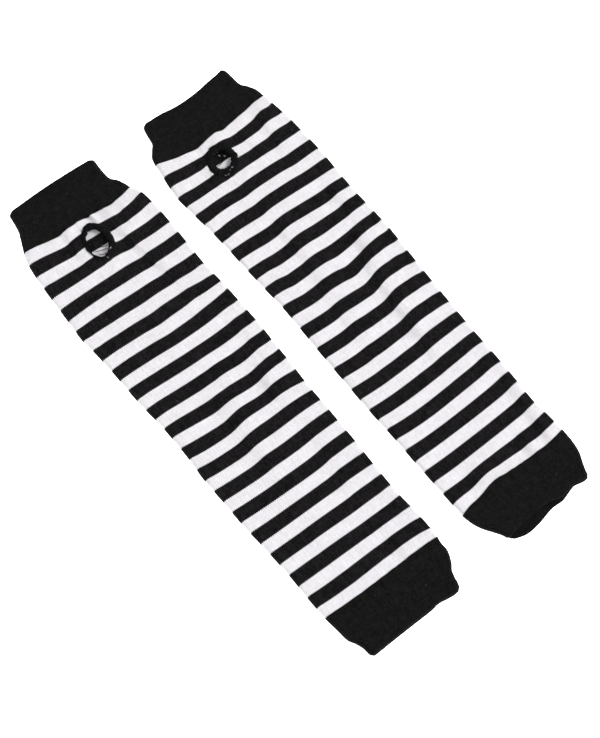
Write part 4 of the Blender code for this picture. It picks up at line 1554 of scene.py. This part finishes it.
class MITTENS_OT_stage(bpy.types.Operator):
    """Lay the floor, hang the lights and place the camera"""

    bl_idname = "mittens.stage"
    bl_label = "Floor, lights and camera"

    def execute(self, context):
        scene, stage = context.scene, settings("stage")
        side = stage.floor_side / 2
        ground = bpy.data.meshes.new("floor")
        corners = [(-side, -side, 0), (side, -side, 0), (side, side, 0), (-side, side, 0)]
        ground.from_pydata(corners, [], [(0, 1, 2, 3)])
        ground.materials.append(look(floor))
        link_mesh(ground)

        for lamp in LAMPS:
            data = bpy.data.lights.new(lamp.name, "AREA")
            data.shape = "SQUARE"
            data.size = lamp.side
            data.energy = getattr(stage, lamp.setting)
            body = bpy.data.objects.new(lamp.name, data)
            body.location = lamp.place
            body.rotation_euler = (-Vector(lamp.place)).to_track_quat("-Z", "Y").to_euler()
            scene.collection.objects.link(body)

        scene.world = bpy.data.worlds.new("surround")
        scene.world.use_nodes = True
        background = scene.world.node_tree.nodes["Background"]
        background.inputs["Color"].default_value = opaque(WHITE)
        nodes = Tree(scene.world.node_tree)
        upward = nodes.split(nodes.add("ShaderNodeTexCoord", {}, output="Generated"))[2]
        limits = {"From Min": WALL_TOP, "From Max": CEILING_EDGE}
        strengths = {"To Min": stage.walls, "To Max": stage.ceiling}
        strength = nodes.add("ShaderNodeMapRange", {"Value": upward, **limits, **strengths})
        nodes.feed(background.inputs["Strength"], strength)

        elevation = math.radians(CAMERA_ELEVATION)
        back = Vector((0.0, -math.cos(elevation), math.sin(elevation)))
        data = bpy.data.cameras.new("camera")
        data.lens = CAMERA_LENS
        camera = bpy.data.objects.new("camera", data)
        camera.location = (Vector(CAMERA_TARGET) + back * CAMERA_DISTANCE) * MM
        camera.rotation_euler = (math.pi / 2 - elevation, 0.0, 0.0)
        scene.collection.objects.link(camera)
        scene.camera = camera
        scene.view_settings.view_transform = "Standard"
        return {"FINISHED"}


# ---------------------------------------------------------------- panel and registration


class MITTENS_PT_panel(bpy.types.Panel):
    """The pair's sizes, colours and steps"""

    bl_label = "Long mittens"
    bl_idname = "MITTENS_PT_panel"
    bl_space_type = "VIEW_3D"
    bl_region_type = "UI"
    bl_category = "Mittens"

    def draw(self, context):
        for title, group in SETTING_GROUPS.items():
            box = self.layout.box()
            box.label(text=title.capitalize())
            for name in group.__annotations__:
                box.prop(settings(title), name)
        for step in STEPS:
            self.layout.operator(step.bl_idname)


SETTING_GROUPS = {
    "knit": MITTENS_PG_knit,
    "colours": MITTENS_PG_colours,
    "sewing": MITTENS_PG_sewing,
    "stage": MITTENS_PG_stage,
}
STEPS = (MITTENS_OT_tubes, MITTENS_OT_cuffs, MITTENS_OT_thumb_holes, MITTENS_OT_stage)
CLASSES = (*SETTING_GROUPS.values(), *STEPS, MITTENS_PT_panel)


def register():
    for cls in CLASSES:
        bpy.utils.register_class(cls)
    for name, group in SETTING_GROUPS.items():
        setattr(bpy.types.Scene, f"mittens_{name}", bpy.props.PointerProperty(type=group))


def unregister():
    for name in SETTING_GROUPS:
        delattr(bpy.types.Scene, f"mittens_{name}")
    for cls in reversed(CLASSES):
        bpy.utils.unregister_class(cls)


def main():
    register()
    bpy.ops.mittens.tubes()
    bpy.ops.mittens.cuffs()
    bpy.ops.mittens.thumb_holes()
    bpy.ops.mittens.stage()


if __name__ == "__main__":
    main()
